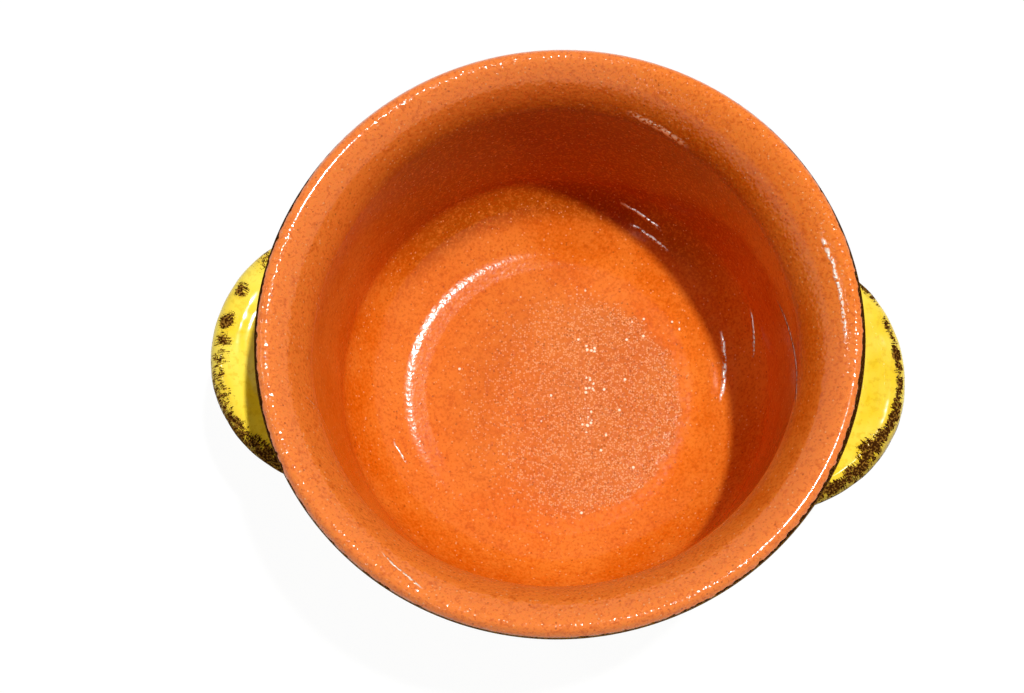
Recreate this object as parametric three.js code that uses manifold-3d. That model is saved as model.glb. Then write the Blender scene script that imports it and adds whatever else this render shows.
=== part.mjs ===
// A red clay soup crock with a rolled lip, a glazed inside and outside, and two solid lug handles.
// Millimetres, +Z up. The foot stands on the XY plane, centred on the origin, with the handles along X.

import * as THREE from 'three';
import { mergeVertices } from 'three/addons/utils/BufferGeometryUtils.js';
import Module from 'manifold-3d';

const wasm = await Module();
wasm.setup();

// Inside of the bowl, measured on the finished glaze. Depths run down from the crest of the lip.
const THROAT_RADIUS = 53.3;     // inside radius just below the lip
const LIP_RISE = 12.5;          // crest of the lip above the throat
const WALL_TAPER = 2.3;         // how much the wall draws in between the throat and the cove
const COVE_START = 34;          // straight wall between the throat and the cove
const COVE_RUN = 15.2;          // wall's foot, were it a sharp corner, to the flat of the floor
const TOE_RADIUS = 6.5;         // quick turn with which the floor starts to rise
const TOE_ANGLE = 16;           // degrees of that turn, after which the cove runs on
const INSIDE_DEPTH = 59;        // crest of the lip to the floor

// The rolled lip.
const LIP_WIDTH = 11.7;         // throat to the outer edge
const EDGE_RUN = 3.5;           // crest to the outer edge, across
const EDGE_DROP = 3;            // crest to the outer edge, down
const CREST_EASE = 3;           // how far the crest runs level before it turns down into the bowl
const THROAT_EASE = 4;          // how far the throat runs upright before it turns out to the lip
const GLAZE_LINE_ANGLE = 65;    // degrees round the edge at which the two glazes meet

// The clay under the glazes.
const WALL = 5.5;               // wall at the neck, glazes included
const HEEL = 6.5;               // extra radius of the outside where wall and floor meet
const NECK_DROP = 2.5;          // neck below the throat
const EDGE_EASE = 4;            // how far the lip's edge runs upright before it turns in to the neck
const NECK_EASE = 6;            // how far the neck runs upright below that turn
const SIDE_EASE = 26;           // how far the side runs upright before it turns in to the foot
const FLOOR_THICKNESS = 6.8;
const FOOT_OUTSET = 9.6;        // foot's outer face beyond the flat of the floor
const FOOT_WIDTH = 5;
const FOOT_HEIGHT = 3;
const FOOT_RECESS = 2.2;        // underside above the table
const FOOT_CHAMFER = 0.6;

// Glaze coats, and the clearance that each coat or joint keeps to what it lies on.
const GLAZE = 0.6;
const SEAT_GAP = 0.3;

// Lug handles: discs centred near the wall, of which the part outside the wall is left.
const LUG_RADIUS = 31.3;        // arc of the outline, seen from above
const LUG_REACH = 15;           // tip beyond the edge of the lip
const LUG_DEPTH = 32;           // middle of the lug's edge below the crest of the lip
const LUG_THICKNESS = 8;        // at the rounded edge
const DISH_WIDTH = 7;           // raised edge to the bottom of the thumb dish
const DISH_DEPTH = 1.1;
const ROOT_RISE = 6;            // how far the top sweeps up towards the disc's centre
const SWEEP_BEND = 10;          // bend of that sweep, from the disc's centre
const CORBEL = 10;              // how far the underside sweeps down towards the disc's centre
const CORBEL_BEND = 14;         // bend of that sweep, from the disc's centre

// Slip that lutes each lug to the wall.
const SLIP = 0.8;               // layer between the wall and the lug
const BEAD_WIDTH = 1.6;         // bead squeezed out round the lug, along the wall
const BEAD_RISE = 1.8;          // bead squeezed out round the lug, out from the wall

// Steps of the round shapes.
const TURN_STEPS = 48;
const LUG_STEPS = 40;
const EDGE_STEPS = 3;
const LIP_STEPS = 4;
const COVE_STEPS = 6;
const TOE_STEPS = 2;
const UNDERLIP_STEPS = 4;
const OUTSIDE_STEPS = 7;
const LUG_ROUND_STEPS = 6;
const LUG_FACE_STEPS = 3;

// Points of a profile that are closer than this count as one.
const SAME_POINT = 0.01;
const SAME_VERTEX = 0.0001;

// Share of the way to the corner at which a cubic curve's handles lie when it turns a round quarter.
const ROUND_HANDLE = 0.5523;

// Sizes that follow from the ones above.
const HEIGHT = INSIDE_DEPTH + FLOOR_THICKNESS + FOOT_RECESS;
const RIM_RADIUS = THROAT_RADIUS + LIP_WIDTH;
const CREST_RADIUS = RIM_RADIUS - EDGE_RUN;
const COVE_RADIUS = THROAT_RADIUS - WALL_TAPER;
const COVE_DEPTH = LIP_RISE + COVE_START;
const COVE_CORNER = COVE_RADIUS - WALL_TAPER * (INSIDE_DEPTH - COVE_DEPTH) / COVE_START;
const FLOOR_RADIUS = COVE_CORNER - COVE_RUN;
const FOOT_RADIUS = FLOOR_RADIUS + FOOT_OUTSET;
const COAT = GLAZE + SEAT_GAP;
const NECK_RADIUS = THROAT_RADIUS + WALL;
const NECK_DEPTH = LIP_RISE + NECK_DROP;
const LUG_CENTRE = RIM_RADIUS + LUG_REACH - LUG_RADIUS;
const LUG_Z = HEIGHT - LUG_DEPTH;
const EDGE_RADIUS = Math.min(EDGE_RUN, EDGE_DROP);

// A point of a profile, by its distance from the axis and its depth below the crest of the lip.
function at(radius, depth) {
  return new THREE.Vector2(radius, HEIGHT - depth);
}

function join(...runs) {
  const points = runs.flat();
  return points.filter((point, i) => i === 0 || point.distanceTo(points[i - 1]) > SAME_POINT);
}

// Quarter ellipse from the crest (0 degrees) to the outer edge (90 degrees) of the lip.
function edgeArc(fromDegrees, toDegrees) {
  const points = [];
  for (let i = 0; i <= EDGE_STEPS; i++) {
    const angle = THREE.MathUtils.degToRad(fromDegrees + (toDegrees - fromDegrees) * i / EDGE_STEPS);
    points.push(at(CREST_RADIUS + EDGE_RUN * Math.sin(angle), EDGE_DROP * (1 - Math.cos(angle))));
  }
  return points;
}

// Quick turn from the foot of the cove down to the flat of the floor.
function toeArc() {
  const points = [];
  for (let i = TOE_STEPS; i >= 0; i--) {
    const angle = THREE.MathUtils.degToRad(TOE_ANGLE * i / TOE_STEPS);
    points.push(at(FLOOR_RADIUS + TOE_RADIUS * Math.sin(angle), INSIDE_DEPTH - TOE_RADIUS * (1 - Math.cos(angle))));
  }
  return points;
}

// Where the wall, run on down, meets the slope on which the toe ends.
function coveCorner(toeTop) {
  const rise = Math.tan(THREE.MathUtils.degToRad(TOE_ANGLE));
  const taper = WALL_TAPER / COVE_START;
  const toeDepth = HEIGHT - toeTop.y;
  const radius = (COVE_RADIUS - taper * (toeDepth + toeTop.x * rise - COVE_DEPTH)) / (1 - taper * rise);
  return at(radius, toeDepth - (radius - toeTop.x) * rise);
}

// Finished inside surface, from the line where the glazes meet, over the crest, down to the floor's centre.
function insideCurve() {
  const lip = new THREE.CubicBezierCurve(
    at(CREST_RADIUS, 0),
    at(CREST_RADIUS - CREST_EASE, 0),
    at(THROAT_RADIUS, LIP_RISE - THROAT_EASE),
    at(THROAT_RADIUS, LIP_RISE),
  );
  const toe = toeArc();
  const wallFoot = at(COVE_RADIUS, COVE_DEPTH);
  const corner = coveCorner(toe[0]);
  const cove = new THREE.CubicBezierCurve(
    wallFoot,
    wallFoot.clone().lerp(corner, ROUND_HANDLE),
    toe[0].clone().lerp(corner, ROUND_HANDLE),
    toe[0],
  );
  return join(
    edgeArc(GLAZE_LINE_ANGLE, 0),
    lip.getPoints(LIP_STEPS),
    cove.getPoints(COVE_STEPS),
    toe,
    [at(0, INSIDE_DEPTH)],
  );
}

// Finished outside surface, from just past the line where the glazes meet down to the foot.
function outsideCurve() {
  const gapAngle = THREE.MathUtils.radToDeg(SEAT_GAP / EDGE_RADIUS);
  const underlip = new THREE.CubicBezierCurve(
    at(RIM_RADIUS, EDGE_DROP),
    at(RIM_RADIUS, EDGE_DROP + EDGE_EASE),
    at(NECK_RADIUS, NECK_DEPTH - NECK_EASE),
    at(NECK_RADIUS, NECK_DEPTH),
  );
  const wall = new THREE.CubicBezierCurve(
    at(NECK_RADIUS, NECK_DEPTH),
    at(NECK_RADIUS, NECK_DEPTH + SIDE_EASE),
    at(COVE_CORNER + HEEL, INSIDE_DEPTH),
    at(FOOT_RADIUS + COAT, HEIGHT - FOOT_HEIGHT),
  );
  return join(
    edgeArc(GLAZE_LINE_ANGLE + gapAngle, 90),
    underlip.getPoints(UNDERLIP_STEPS),
    wall.getPoints(OUTSIDE_STEPS),
  );
}

// Moves a run of points square to itself, to its left for a positive distance.
function shift(points, distance) {
  return points.map((point, i) => {
    const before = points[Math.max(i - 1, 0)];
    const after = points[Math.min(i + 1, points.length - 1)];
    const along = after.clone().sub(before).normalize();
    return new THREE.Vector2(point.x - along.y * distance, point.y + along.x * distance);
  });
}

// Revolves a profile round the vertical axis.
function turn(profile, steps) {
  return new THREE.LatheGeometry(profile, steps).rotateX(Math.PI / 2);
}

// Reads a closed geometry as a solid that can be joined and cut.
function toSolid(geometry) {
  const bare = geometry.clone();
  bare.deleteAttribute('normal');
  bare.deleteAttribute('uv');
  const merged = mergeVertices(bare, SAME_VERTEX);
  const corners = merged.index.array;
  const triVerts = [];
  for (let i = 0; i < corners.length; i += 3) {
    const [a, b, c] = corners.slice(i, i + 3);
    if (a !== b && b !== c && c !== a) triVerts.push(a, b, c);
  }
  return new wasm.Manifold(new wasm.Mesh({
    numProp: 3,
    vertProperties: new Float32Array(merged.attributes.position.array),
    triVerts: new Uint32Array(triVerts),
  }));
}

function toGeometry(solid) {
  const mesh = solid.getMesh();
  const positions = new Float32Array(mesh.vertProperties);
  const geometry = new THREE.BufferGeometry();
  geometry.setAttribute('position', new THREE.BufferAttribute(positions, 3));
  geometry.setIndex(new THREE.BufferAttribute(new Uint32Array(mesh.triVerts), 1));
  geometry.computeVertexNormals();
  return geometry;
}

// Everything within a given distance outside the bare clay wall, as one filled solid.
function wallSolid(standOff) {
  const skin = shift(outsideCurve(), standOff - COAT).reverse();
  const bottom = new THREE.Vector2(0, skin[0].y);
  const top = new THREE.Vector2(0, skin[skin.length - 1].y);
  return toSolid(turn([bottom, ...skin, top], TURN_STEPS));
}

// The whole disc that a lug is cut from, grown all over by a margin, on the +X side.
function lugDisc(margin) {
  const half = LUG_THICKNESS / 2 + margin;
  const roundCentre = LUG_RADIUS - LUG_THICKNESS / 2;
  const dish = roundCentre - DISH_WIDTH;
  const below = new THREE.QuadraticBezierCurve(
    new THREE.Vector2(0, -half - CORBEL),
    new THREE.Vector2(CORBEL_BEND, -half),
    new THREE.Vector2(roundCentre, -half),
  );
  const nose = new THREE.EllipseCurve(roundCentre, 0, half, half, -Math.PI / 2, Math.PI / 2);
  const raisedEdge = new THREE.CubicBezierCurve(
    new THREE.Vector2(roundCentre, half),
    new THREE.Vector2(roundCentre - DISH_WIDTH / 2, half),
    new THREE.Vector2(roundCentre - DISH_WIDTH / 2, half - DISH_DEPTH),
    new THREE.Vector2(dish, half - DISH_DEPTH),
  );
  const sweep = new THREE.QuadraticBezierCurve(
    new THREE.Vector2(dish, half - DISH_DEPTH),
    new THREE.Vector2(SWEEP_BEND, half - DISH_DEPTH),
    new THREE.Vector2(0, half - DISH_DEPTH + ROOT_RISE),
  );
  const profile = join(
    below.getPoints(LUG_FACE_STEPS),
    nose.getPoints(LUG_ROUND_STEPS),
    raisedEdge.getPoints(LUG_FACE_STEPS),
    sweep.getPoints(LUG_FACE_STEPS),
  );
  return toSolid(turn(profile, LUG_STEPS).translate(LUG_CENTRE, 0, LUG_Z));
}

function crockBody() {
  const footInside = FOOT_RADIUS - FOOT_WIDTH;
  const foot = [
    new THREE.Vector2(0, FOOT_RECESS),
    new THREE.Vector2(footInside, FOOT_RECESS),
    new THREE.Vector2(footInside, FOOT_CHAMFER),
    new THREE.Vector2(footInside + FOOT_CHAMFER, 0),
    new THREE.Vector2(FOOT_RADIUS - FOOT_CHAMFER, 0),
    new THREE.Vector2(FOOT_RADIUS, FOOT_CHAMFER),
    new THREE.Vector2(FOOT_RADIUS, FOOT_HEIGHT),
  ];
  const outside = shift(outsideCurve(), -COAT).reverse();
  const inside = shift(insideCurve(), COAT);
  return turn(join(foot, outside, inside), TURN_STEPS);
}

function insideGlaze() {
  const finished = insideCurve();
  const under = shift(finished, GLAZE).reverse();
  return turn([...under, ...finished], TURN_STEPS);
}

function outsideGlaze() {
  const finished = outsideCurve();
  const under = shift(finished, -GLAZE);
  const profile = [...finished.reverse(), ...under];
  profile.push(profile[0].clone());
  const opening = lugDisc(BEAD_WIDTH + SEAT_GAP);
  const coat = toSolid(turn(profile, TURN_STEPS));
  return toGeometry(coat.subtract(opening).subtract(opening.rotate([0, 0, 180])));
}

function lugHandle() {
  return toGeometry(lugDisc(0).subtract(wallSolid(SEAT_GAP + SLIP + SEAT_GAP)));
}

function slipJoint() {
  const pocket = lugDisc(SEAT_GAP).subtract(wallSolid(SEAT_GAP + SLIP));
  const bead = wallSolid(SEAT_GAP + BEAD_RISE).intersect(lugDisc(BEAD_WIDTH));
  return toGeometry(bead.subtract(pocket).subtract(wallSolid(SEAT_GAP)));
}

const clay = new THREE.MeshStandardMaterial({ color: '#b4623a', roughness: 0.85, metalness: 0 });
const orangeGlaze = new THREE.MeshStandardMaterial({ color: '#ee7a35', roughness: 0.2, metalness: 0 });
const yellowGlaze = new THREE.MeshStandardMaterial({ color: '#f3cf35', roughness: 0.2, metalness: 0 });
const wornSlip = new THREE.MeshStandardMaterial({ color: '#6a4526', roughness: 0.6, metalness: 0 });

function piece(name, geometry, material) {
  const mesh = new THREE.Mesh(geometry, material);
  mesh.name = name;
  return mesh;
}

// A lug and its slip joint, turned round the crock to one side.
function handleSet(side, degrees) {
  const set = new THREE.Group();
  set.add(piece(`handle_${side}`, lugHandle(), yellowGlaze));
  set.add(piece(`slip_joint_${side}`, slipJoint(), wornSlip));
  set.rotation.z = THREE.MathUtils.degToRad(degrees);
  return set;
}

const crock = new THREE.Group();
crock.add(piece('crock_body', crockBody(), clay));
crock.add(piece('inside_glaze', insideGlaze(), orangeGlaze));
crock.add(piece('outside_glaze', outsideGlaze(), yellowGlaze));
crock.add(handleSet('right', 0));
crock.add(handleSet('left', 180));

export default crock;
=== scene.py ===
"""Dresses a round soup crock, with its clay, two glazes, lug handles and slip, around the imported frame.

Lengths are in metres in the crock's own frame, with +Z up, the foot on the XY plane and the lugs along X.
"""

import logging
import math
from dataclasses import dataclass, field
from enum import Enum
from functools import partial, reduce

import bpy
import numpy as np
from mathutils import Matrix, Vector

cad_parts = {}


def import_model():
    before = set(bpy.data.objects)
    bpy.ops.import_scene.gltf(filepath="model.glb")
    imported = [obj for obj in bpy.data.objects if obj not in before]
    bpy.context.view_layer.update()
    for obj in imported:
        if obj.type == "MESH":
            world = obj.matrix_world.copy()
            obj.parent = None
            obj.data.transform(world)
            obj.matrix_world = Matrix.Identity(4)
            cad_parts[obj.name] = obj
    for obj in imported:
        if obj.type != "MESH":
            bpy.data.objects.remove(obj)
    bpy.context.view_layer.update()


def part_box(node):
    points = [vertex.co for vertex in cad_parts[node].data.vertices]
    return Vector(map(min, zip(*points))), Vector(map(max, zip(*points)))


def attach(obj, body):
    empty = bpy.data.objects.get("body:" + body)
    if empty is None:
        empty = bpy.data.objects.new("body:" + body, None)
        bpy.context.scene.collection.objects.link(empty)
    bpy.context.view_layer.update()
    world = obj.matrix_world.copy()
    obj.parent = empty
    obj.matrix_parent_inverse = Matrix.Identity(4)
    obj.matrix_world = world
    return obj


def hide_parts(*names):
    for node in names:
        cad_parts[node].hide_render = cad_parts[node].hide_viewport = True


MM = 0.001
CURVE_POINTS = 200
LOG = logging.getLogger("crock")
Array = np.ndarray
Color = tuple[float, float, float]
Socket = bpy.types.NodeSocket


class Slot(Enum):
    """The record's material slots."""

    BARE_CLAY = "bare_clay"
    ORANGE_GLAZE = "orange_glaze"
    YELLOW_GLAZE = "yellow_glaze"
    WORN_SLIP = "worn_slip"


class Side(Enum):
    """The side of the crock that a lug is on, as the turn in degrees that takes the right lug there."""

    RIGHT = 0.0
    LEFT = 180.0

    @property
    def sign(self) -> float:
        """1 on the right and -1 on the left."""
        return math.cos(math.radians(self.value))

    def placed(self, points: Array) -> Array:
        """Points of the right lug, turned to this side."""
        return points * np.array([self.sign, self.sign, 1.0])


def linear(red: int, green: int, blue: int) -> Color:
    """Turns a screen's colour, 0 to 255 per channel, into the linear values that shaders take."""
    shares = np.array([red, green, blue]) / 255.0
    low = shares / 12.92
    high = ((shares + 0.055) / 1.055) ** 2.4
    return tuple(float(x) for x in np.where(shares <= 0.04045, low, high))


def bezier(controls: list[tuple[float, float]], count: int) -> Array:
    """Points of a Bezier curve: neighbours are blended by the share t until one point is left.

    Args:
        controls: the curve's control points, as (radius, height).
        count: how many points to return, at equal steps of t.

    Returns:
        An array of count rows of (radius, height).
    """
    t = np.linspace(0.0, 1.0, count)[:, None]
    runs = [np.tile(np.array(control, float), (count, 1)) for control in controls]
    while len(runs) > 1:
        runs = [(1.0 - t) * first + t * second for first, second in zip(runs, runs[1:])]
    return runs[0]


def join_runs(*runs: Array) -> Array:
    """Runs of points in a row, with a point that repeats the one before it left out."""
    points = np.concatenate(runs)
    steps = np.linalg.norm(np.diff(points, axis=0), axis=1)
    return points[np.concatenate([[True], steps > 1e-7])]


def travelled(points: Array) -> Array:
    """Distance travelled along a run of points, from 0 at its first point."""
    steps = np.linalg.norm(np.diff(points, axis=0), axis=1)
    return np.concatenate([[0.0], np.cumsum(steps)])


def respaced(points: Array, count: int) -> Array:
    """The same run with count points at equal distances along it."""
    run = travelled(points)
    stops = np.linspace(0.0, run[-1], count)
    return np.stack([np.interp(stops, run, points[:, k]) for k in range(points.shape[1])], axis=1)


def left_normals(points: Array) -> Array:
    """Unit normals of a run in its own plane: the direction of travel turned a quarter turn to the left."""
    along = np.gradient(points, axis=0)
    along /= np.linalg.norm(along, axis=1, keepdims=True)
    return np.stack([-along[:, 1], along[:, 0]], axis=1)


def smooth(value: Array, low: float, high: float) -> Array:
    """Rises smoothly from 0 at low to 1 at high, as 3t squared less 2t cubed."""
    t = np.clip((value - low) / (high - low), 0.0, 1.0)
    return t * t * (3.0 - 2.0 * t)


def bell(angle: Array, centre: float, width: float) -> Array:
    """A bump of height 1 at a centre angle, falling off over a width on both sides, both in degrees."""
    away = np.abs((np.degrees(angle) - centre + 180.0) % 360.0 - 180.0)
    return np.exp(-0.5 * (away / width) ** 2)


@dataclass
class Surface:
    """A closed surface worked out on a grid of rows and columns, in which the last column joins the first.

    The first and last rows each close on a pole, or join each other where there are no poles.
    """

    name: str
    points: Array
    poles: tuple[Array, Array] | None = None
    marks: dict[str, Array] = field(default_factory=dict)

    def corners(self) -> tuple[Array, Array]:
        """Vertex numbers of every quad's four corners, and of every pole triangle's three.

        Returns:
            Two arrays, one row for each face. The pole triangles' array is empty without poles.
        """
        rows, columns, _ = self.points.shape
        index = np.arange(rows * columns).reshape(rows, columns)
        beside = np.roll(index, -1, axis=1)
        if self.poles is None:
            above, above_beside = np.roll(index, -1, axis=0), np.roll(beside, -1, axis=0)
            quads = np.stack([index, beside, above_beside, above], axis=-1).reshape(-1, 4)
            return quads, np.zeros((0, 3), int)
        quads = np.stack([index[:-1], beside[:-1], beside[1:], index[1:]], axis=-1).reshape(-1, 4)
        first, last = np.full(columns, rows * columns), np.full(columns, rows * columns + 1)
        fans = np.concatenate([
            np.stack([first, beside[0], index[0]], axis=-1),
            np.stack([last, index[-1], beside[-1]], axis=-1),
        ])
        return quads, fans

    def vertices(self) -> Array:
        """All the grid's points, row by row, and then the poles."""
        flat = self.points.reshape(-1, 3)
        return flat if self.poles is None else np.concatenate([flat, np.stack(self.poles)])

    def mark_values(self, values: Array) -> Array:
        """One value for each vertex, in which a pole takes the mean of its row."""
        flat = values.reshape(self.points.shape[0] * self.points.shape[1], -1)
        if self.poles is not None:
            ends = np.stack([values[0].reshape(self.points.shape[1], -1).mean(axis=0),
                             values[-1].reshape(self.points.shape[1], -1).mean(axis=0)])
            flat = np.concatenate([flat, ends])
        return flat

    def build(self) -> bpy.types.Object:
        """Makes the mesh object, with its faces outwards, smooth shading and its marks as attributes.

        Returns:
            The new object, at the origin and linked to the scene.
        """
        vertices = self.vertices()
        quads, fans = self.corners()
        thirds = np.concatenate([quads[:, [0, 1, 2]], quads[:, [0, 2, 3]], fans])
        a, b, c = (vertices[thirds[:, k]] for k in range(3))
        if np.einsum("ij,ij->i", a, np.cross(b, c)).sum() < 0.0:
            quads, fans = quads[:, ::-1], fans[:, ::-1]
        corners = np.concatenate([quads.ravel(), fans.ravel()])
        starts = np.concatenate([np.arange(len(quads)) * 4, len(quads) * 4 + np.arange(len(fans)) * 3])
        mesh = bpy.data.meshes.new(self.name)
        mesh.vertices.add(len(vertices))
        mesh.vertices.foreach_set("co", vertices.astype(np.float32).ravel())
        mesh.loops.add(len(corners))
        mesh.loops.foreach_set("vertex_index", corners.astype(np.int32))
        mesh.polygons.add(len(starts))
        mesh.polygons.foreach_set("loop_start", starts.astype(np.int32))
        mesh.update(calc_edges=True)
        mesh.validate()
        mesh.shade_smooth()
        for mark, values in self.marks.items():
            flat = self.mark_values(values)
            kind, key = ("FLOAT", "value") if flat.shape[1] == 1 else ("FLOAT_VECTOR", "vector")
            mesh.attributes.new(mark, kind, "POINT").data.foreach_set(key, flat.astype(np.float32).ravel())
        made = bpy.data.objects.new(self.name, mesh)
        bpy.context.scene.collection.objects.link(made)
        return made


@dataclass(frozen=True)
class CrockSizes:
    """The crock's section on its finished glaze, and the coats under it. Depths run down from the crest."""

    height: float
    rim_radius: float
    throat_radius: float = 53.3 * MM
    throat_depth: float = 12.5 * MM
    wall_taper: float = 2.3 * MM
    cove_start: float = 34.0 * MM
    cove_run: float = 15.2 * MM
    toe_radius: float = 6.5 * MM
    toe_angle: float = 16.0
    inside_depth: float = 59.0 * MM
    edge_run: float = 3.5 * MM
    edge_drop: float = 3.0 * MM
    crest_ease: float = 3.0 * MM
    throat_ease: float = 4.0 * MM
    wall: float = 5.5 * MM
    heel: float = 6.5 * MM
    neck_drop: float = 2.5 * MM
    edge_ease: float = 4.0 * MM
    neck_ease: float = 6.0 * MM
    side_ease: float = 26.0 * MM
    foot_outset: float = 9.6 * MM
    foot_width: float = 5.0 * MM
    foot_height: float = 3.0 * MM
    foot_recess: float = 2.2 * MM
    foot_round: float = 0.6 * MM
    glaze: float = 0.6 * MM
    bedding: float = 0.3 * MM
    glaze_line: float = 67.6
    hairline: float = 0.8
    round_handle: float = 0.5523

    @classmethod
    def from_frame(cls) -> "CrockSizes":
        """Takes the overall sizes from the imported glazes, so that the surfaces fit them."""
        return cls(height=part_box("inside_glaze")[1].z, rim_radius=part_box("outside_glaze")[1].x)

    @property
    def crest_radius(self) -> float:
        """Radius of the lip's crest."""
        return self.rim_radius - self.edge_run

    @property
    def cove_radius(self) -> float:
        """Inside radius where the straight wall turns into the cove."""
        return self.throat_radius - self.wall_taper

    @property
    def cove_depth(self) -> float:
        """Depth at which the straight wall turns into the cove."""
        return self.throat_depth + self.cove_start

    @property
    def cove_corner(self) -> float:
        """Radius at which the straight wall, run on, would meet the floor."""
        return self.cove_radius - self.wall_taper * (self.inside_depth - self.cove_depth) / self.cove_start

    @property
    def floor_radius(self) -> float:
        """Radius of the flat of the floor."""
        return self.cove_corner - self.cove_run

    @property
    def foot_radius(self) -> float:
        """Outer radius of the foot ring."""
        return self.floor_radius + self.foot_outset

    @property
    def neck_radius(self) -> float:
        """Outside radius at the neck, below the lip."""
        return self.throat_radius + self.wall

    @property
    def neck_depth(self) -> float:
        """Depth of the neck."""
        return self.throat_depth + self.neck_drop

    def at(self, radius: float, depth: float) -> tuple[float, float]:
        """A point of the section, as (radius, height)."""
        return radius, self.height - depth

    def edge_arc(self, start: float, end: float, count: int) -> Array:
        """Quarter ellipse over the lip's edge, from the crest at 0 degrees to the widest line at 90."""
        turn = np.radians(np.linspace(start, end, count))
        radius = self.crest_radius + self.edge_run * np.sin(turn)
        return np.stack([radius, self.height - self.edge_drop * (1.0 - np.cos(turn))], axis=1)

    def toe_arc(self, count: int) -> Array:
        """Quick turn from the foot of the cove down to the flat of the floor."""
        turn = np.radians(np.linspace(self.toe_angle, 0.0, count))
        radius = self.floor_radius + self.toe_radius * np.sin(turn)
        depth = self.inside_depth - self.toe_radius * (1.0 - np.cos(turn))
        return np.stack([radius, self.height - depth], axis=1)

    def slope_corner(self, toe_top: Array) -> Array:
        """Where the straight wall, run on down, meets the slope on which the toe ends."""
        rise, taper = math.tan(math.radians(self.toe_angle)), self.wall_taper / self.cove_start
        toe_depth = self.height - toe_top[1]
        radius = self.cove_radius - taper * (toe_depth + toe_top[0] * rise - self.cove_depth)
        radius /= 1.0 - taper * rise
        return np.array(self.at(radius, toe_depth - (radius - toe_top[0]) * rise))

    def inside_profile(self, rows: "ProfileRows") -> Array:
        """Finished inside surface, from where the glazes meet, over the crest, to the floor's centre."""
        lip = bezier([
            self.at(self.crest_radius, 0.0),
            self.at(self.crest_radius - self.crest_ease, 0.0),
            self.at(self.throat_radius, self.throat_depth - self.throat_ease),
            self.at(self.throat_radius, self.throat_depth),
        ], CURVE_POINTS)
        wall = np.array([
            self.at(self.throat_radius, self.throat_depth),
            self.at(self.cove_radius, self.cove_depth),
        ])
        toe = self.toe_arc(rows.toe)
        corner = self.slope_corner(toe[0])
        wall_foot = np.array(self.at(self.cove_radius, self.cove_depth))
        cove = bezier([
            wall_foot,
            wall_foot + (corner - wall_foot) * self.round_handle,
            toe[0] + (corner - toe[0]) * self.round_handle,
            toe[0],
        ], CURVE_POINTS)
        floor = np.array([
            self.at(self.floor_radius, self.inside_depth),
            self.at(rows.pole_radius, self.inside_depth),
        ])
        return join_runs(
            self.edge_arc(self.glaze_line, 0.0, rows.edge),
            respaced(lip, rows.lip),
            respaced(wall, rows.wall),
            respaced(cove, rows.cove),
            toe,
            respaced(floor, rows.floor),
        )

    def outside_profile(self, rows: "ProfileRows") -> Array:
        """Finished outside surface, from just past the line where the glazes meet, down to the foot."""
        under_lip = bezier([
            self.at(self.rim_radius, self.edge_drop),
            self.at(self.rim_radius, self.edge_drop + self.edge_ease),
            self.at(self.neck_radius, self.neck_depth - self.neck_ease),
            self.at(self.neck_radius, self.neck_depth),
        ], CURVE_POINTS)
        side = bezier([
            self.at(self.neck_radius, self.neck_depth),
            self.at(self.neck_radius, self.neck_depth + self.side_ease),
            self.at(self.cove_corner + self.heel, self.inside_depth),
            self.at(self.foot_radius + self.glaze + self.bedding, self.height - self.foot_height),
        ], 2 * CURVE_POINTS)
        return join_runs(
            self.edge_arc(self.glaze_line + self.hairline, 90.0, rows.edge),
            respaced(under_lip, rows.lip),
            respaced(side, rows.side),
        )

    def side_radius(self, height: Array) -> Array:
        """Outside radius of the finished wall at a height between the foot and the neck."""
        side = self.outside_profile(ProfileRows())[::-1]
        return np.interp(height, side[:, 1], side[:, 0])


@dataclass(frozen=True)
class ProfileRows:
    """How many rows each run of a profile gets."""

    edge: int = 10
    lip: int = 38
    wall: int = 26
    cove: int = 40
    toe: int = 8
    floor: int = 30
    side: int = 90
    under: int = 34
    turn: int = 480
    pole_radius: float = 0.5 * MM


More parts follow.
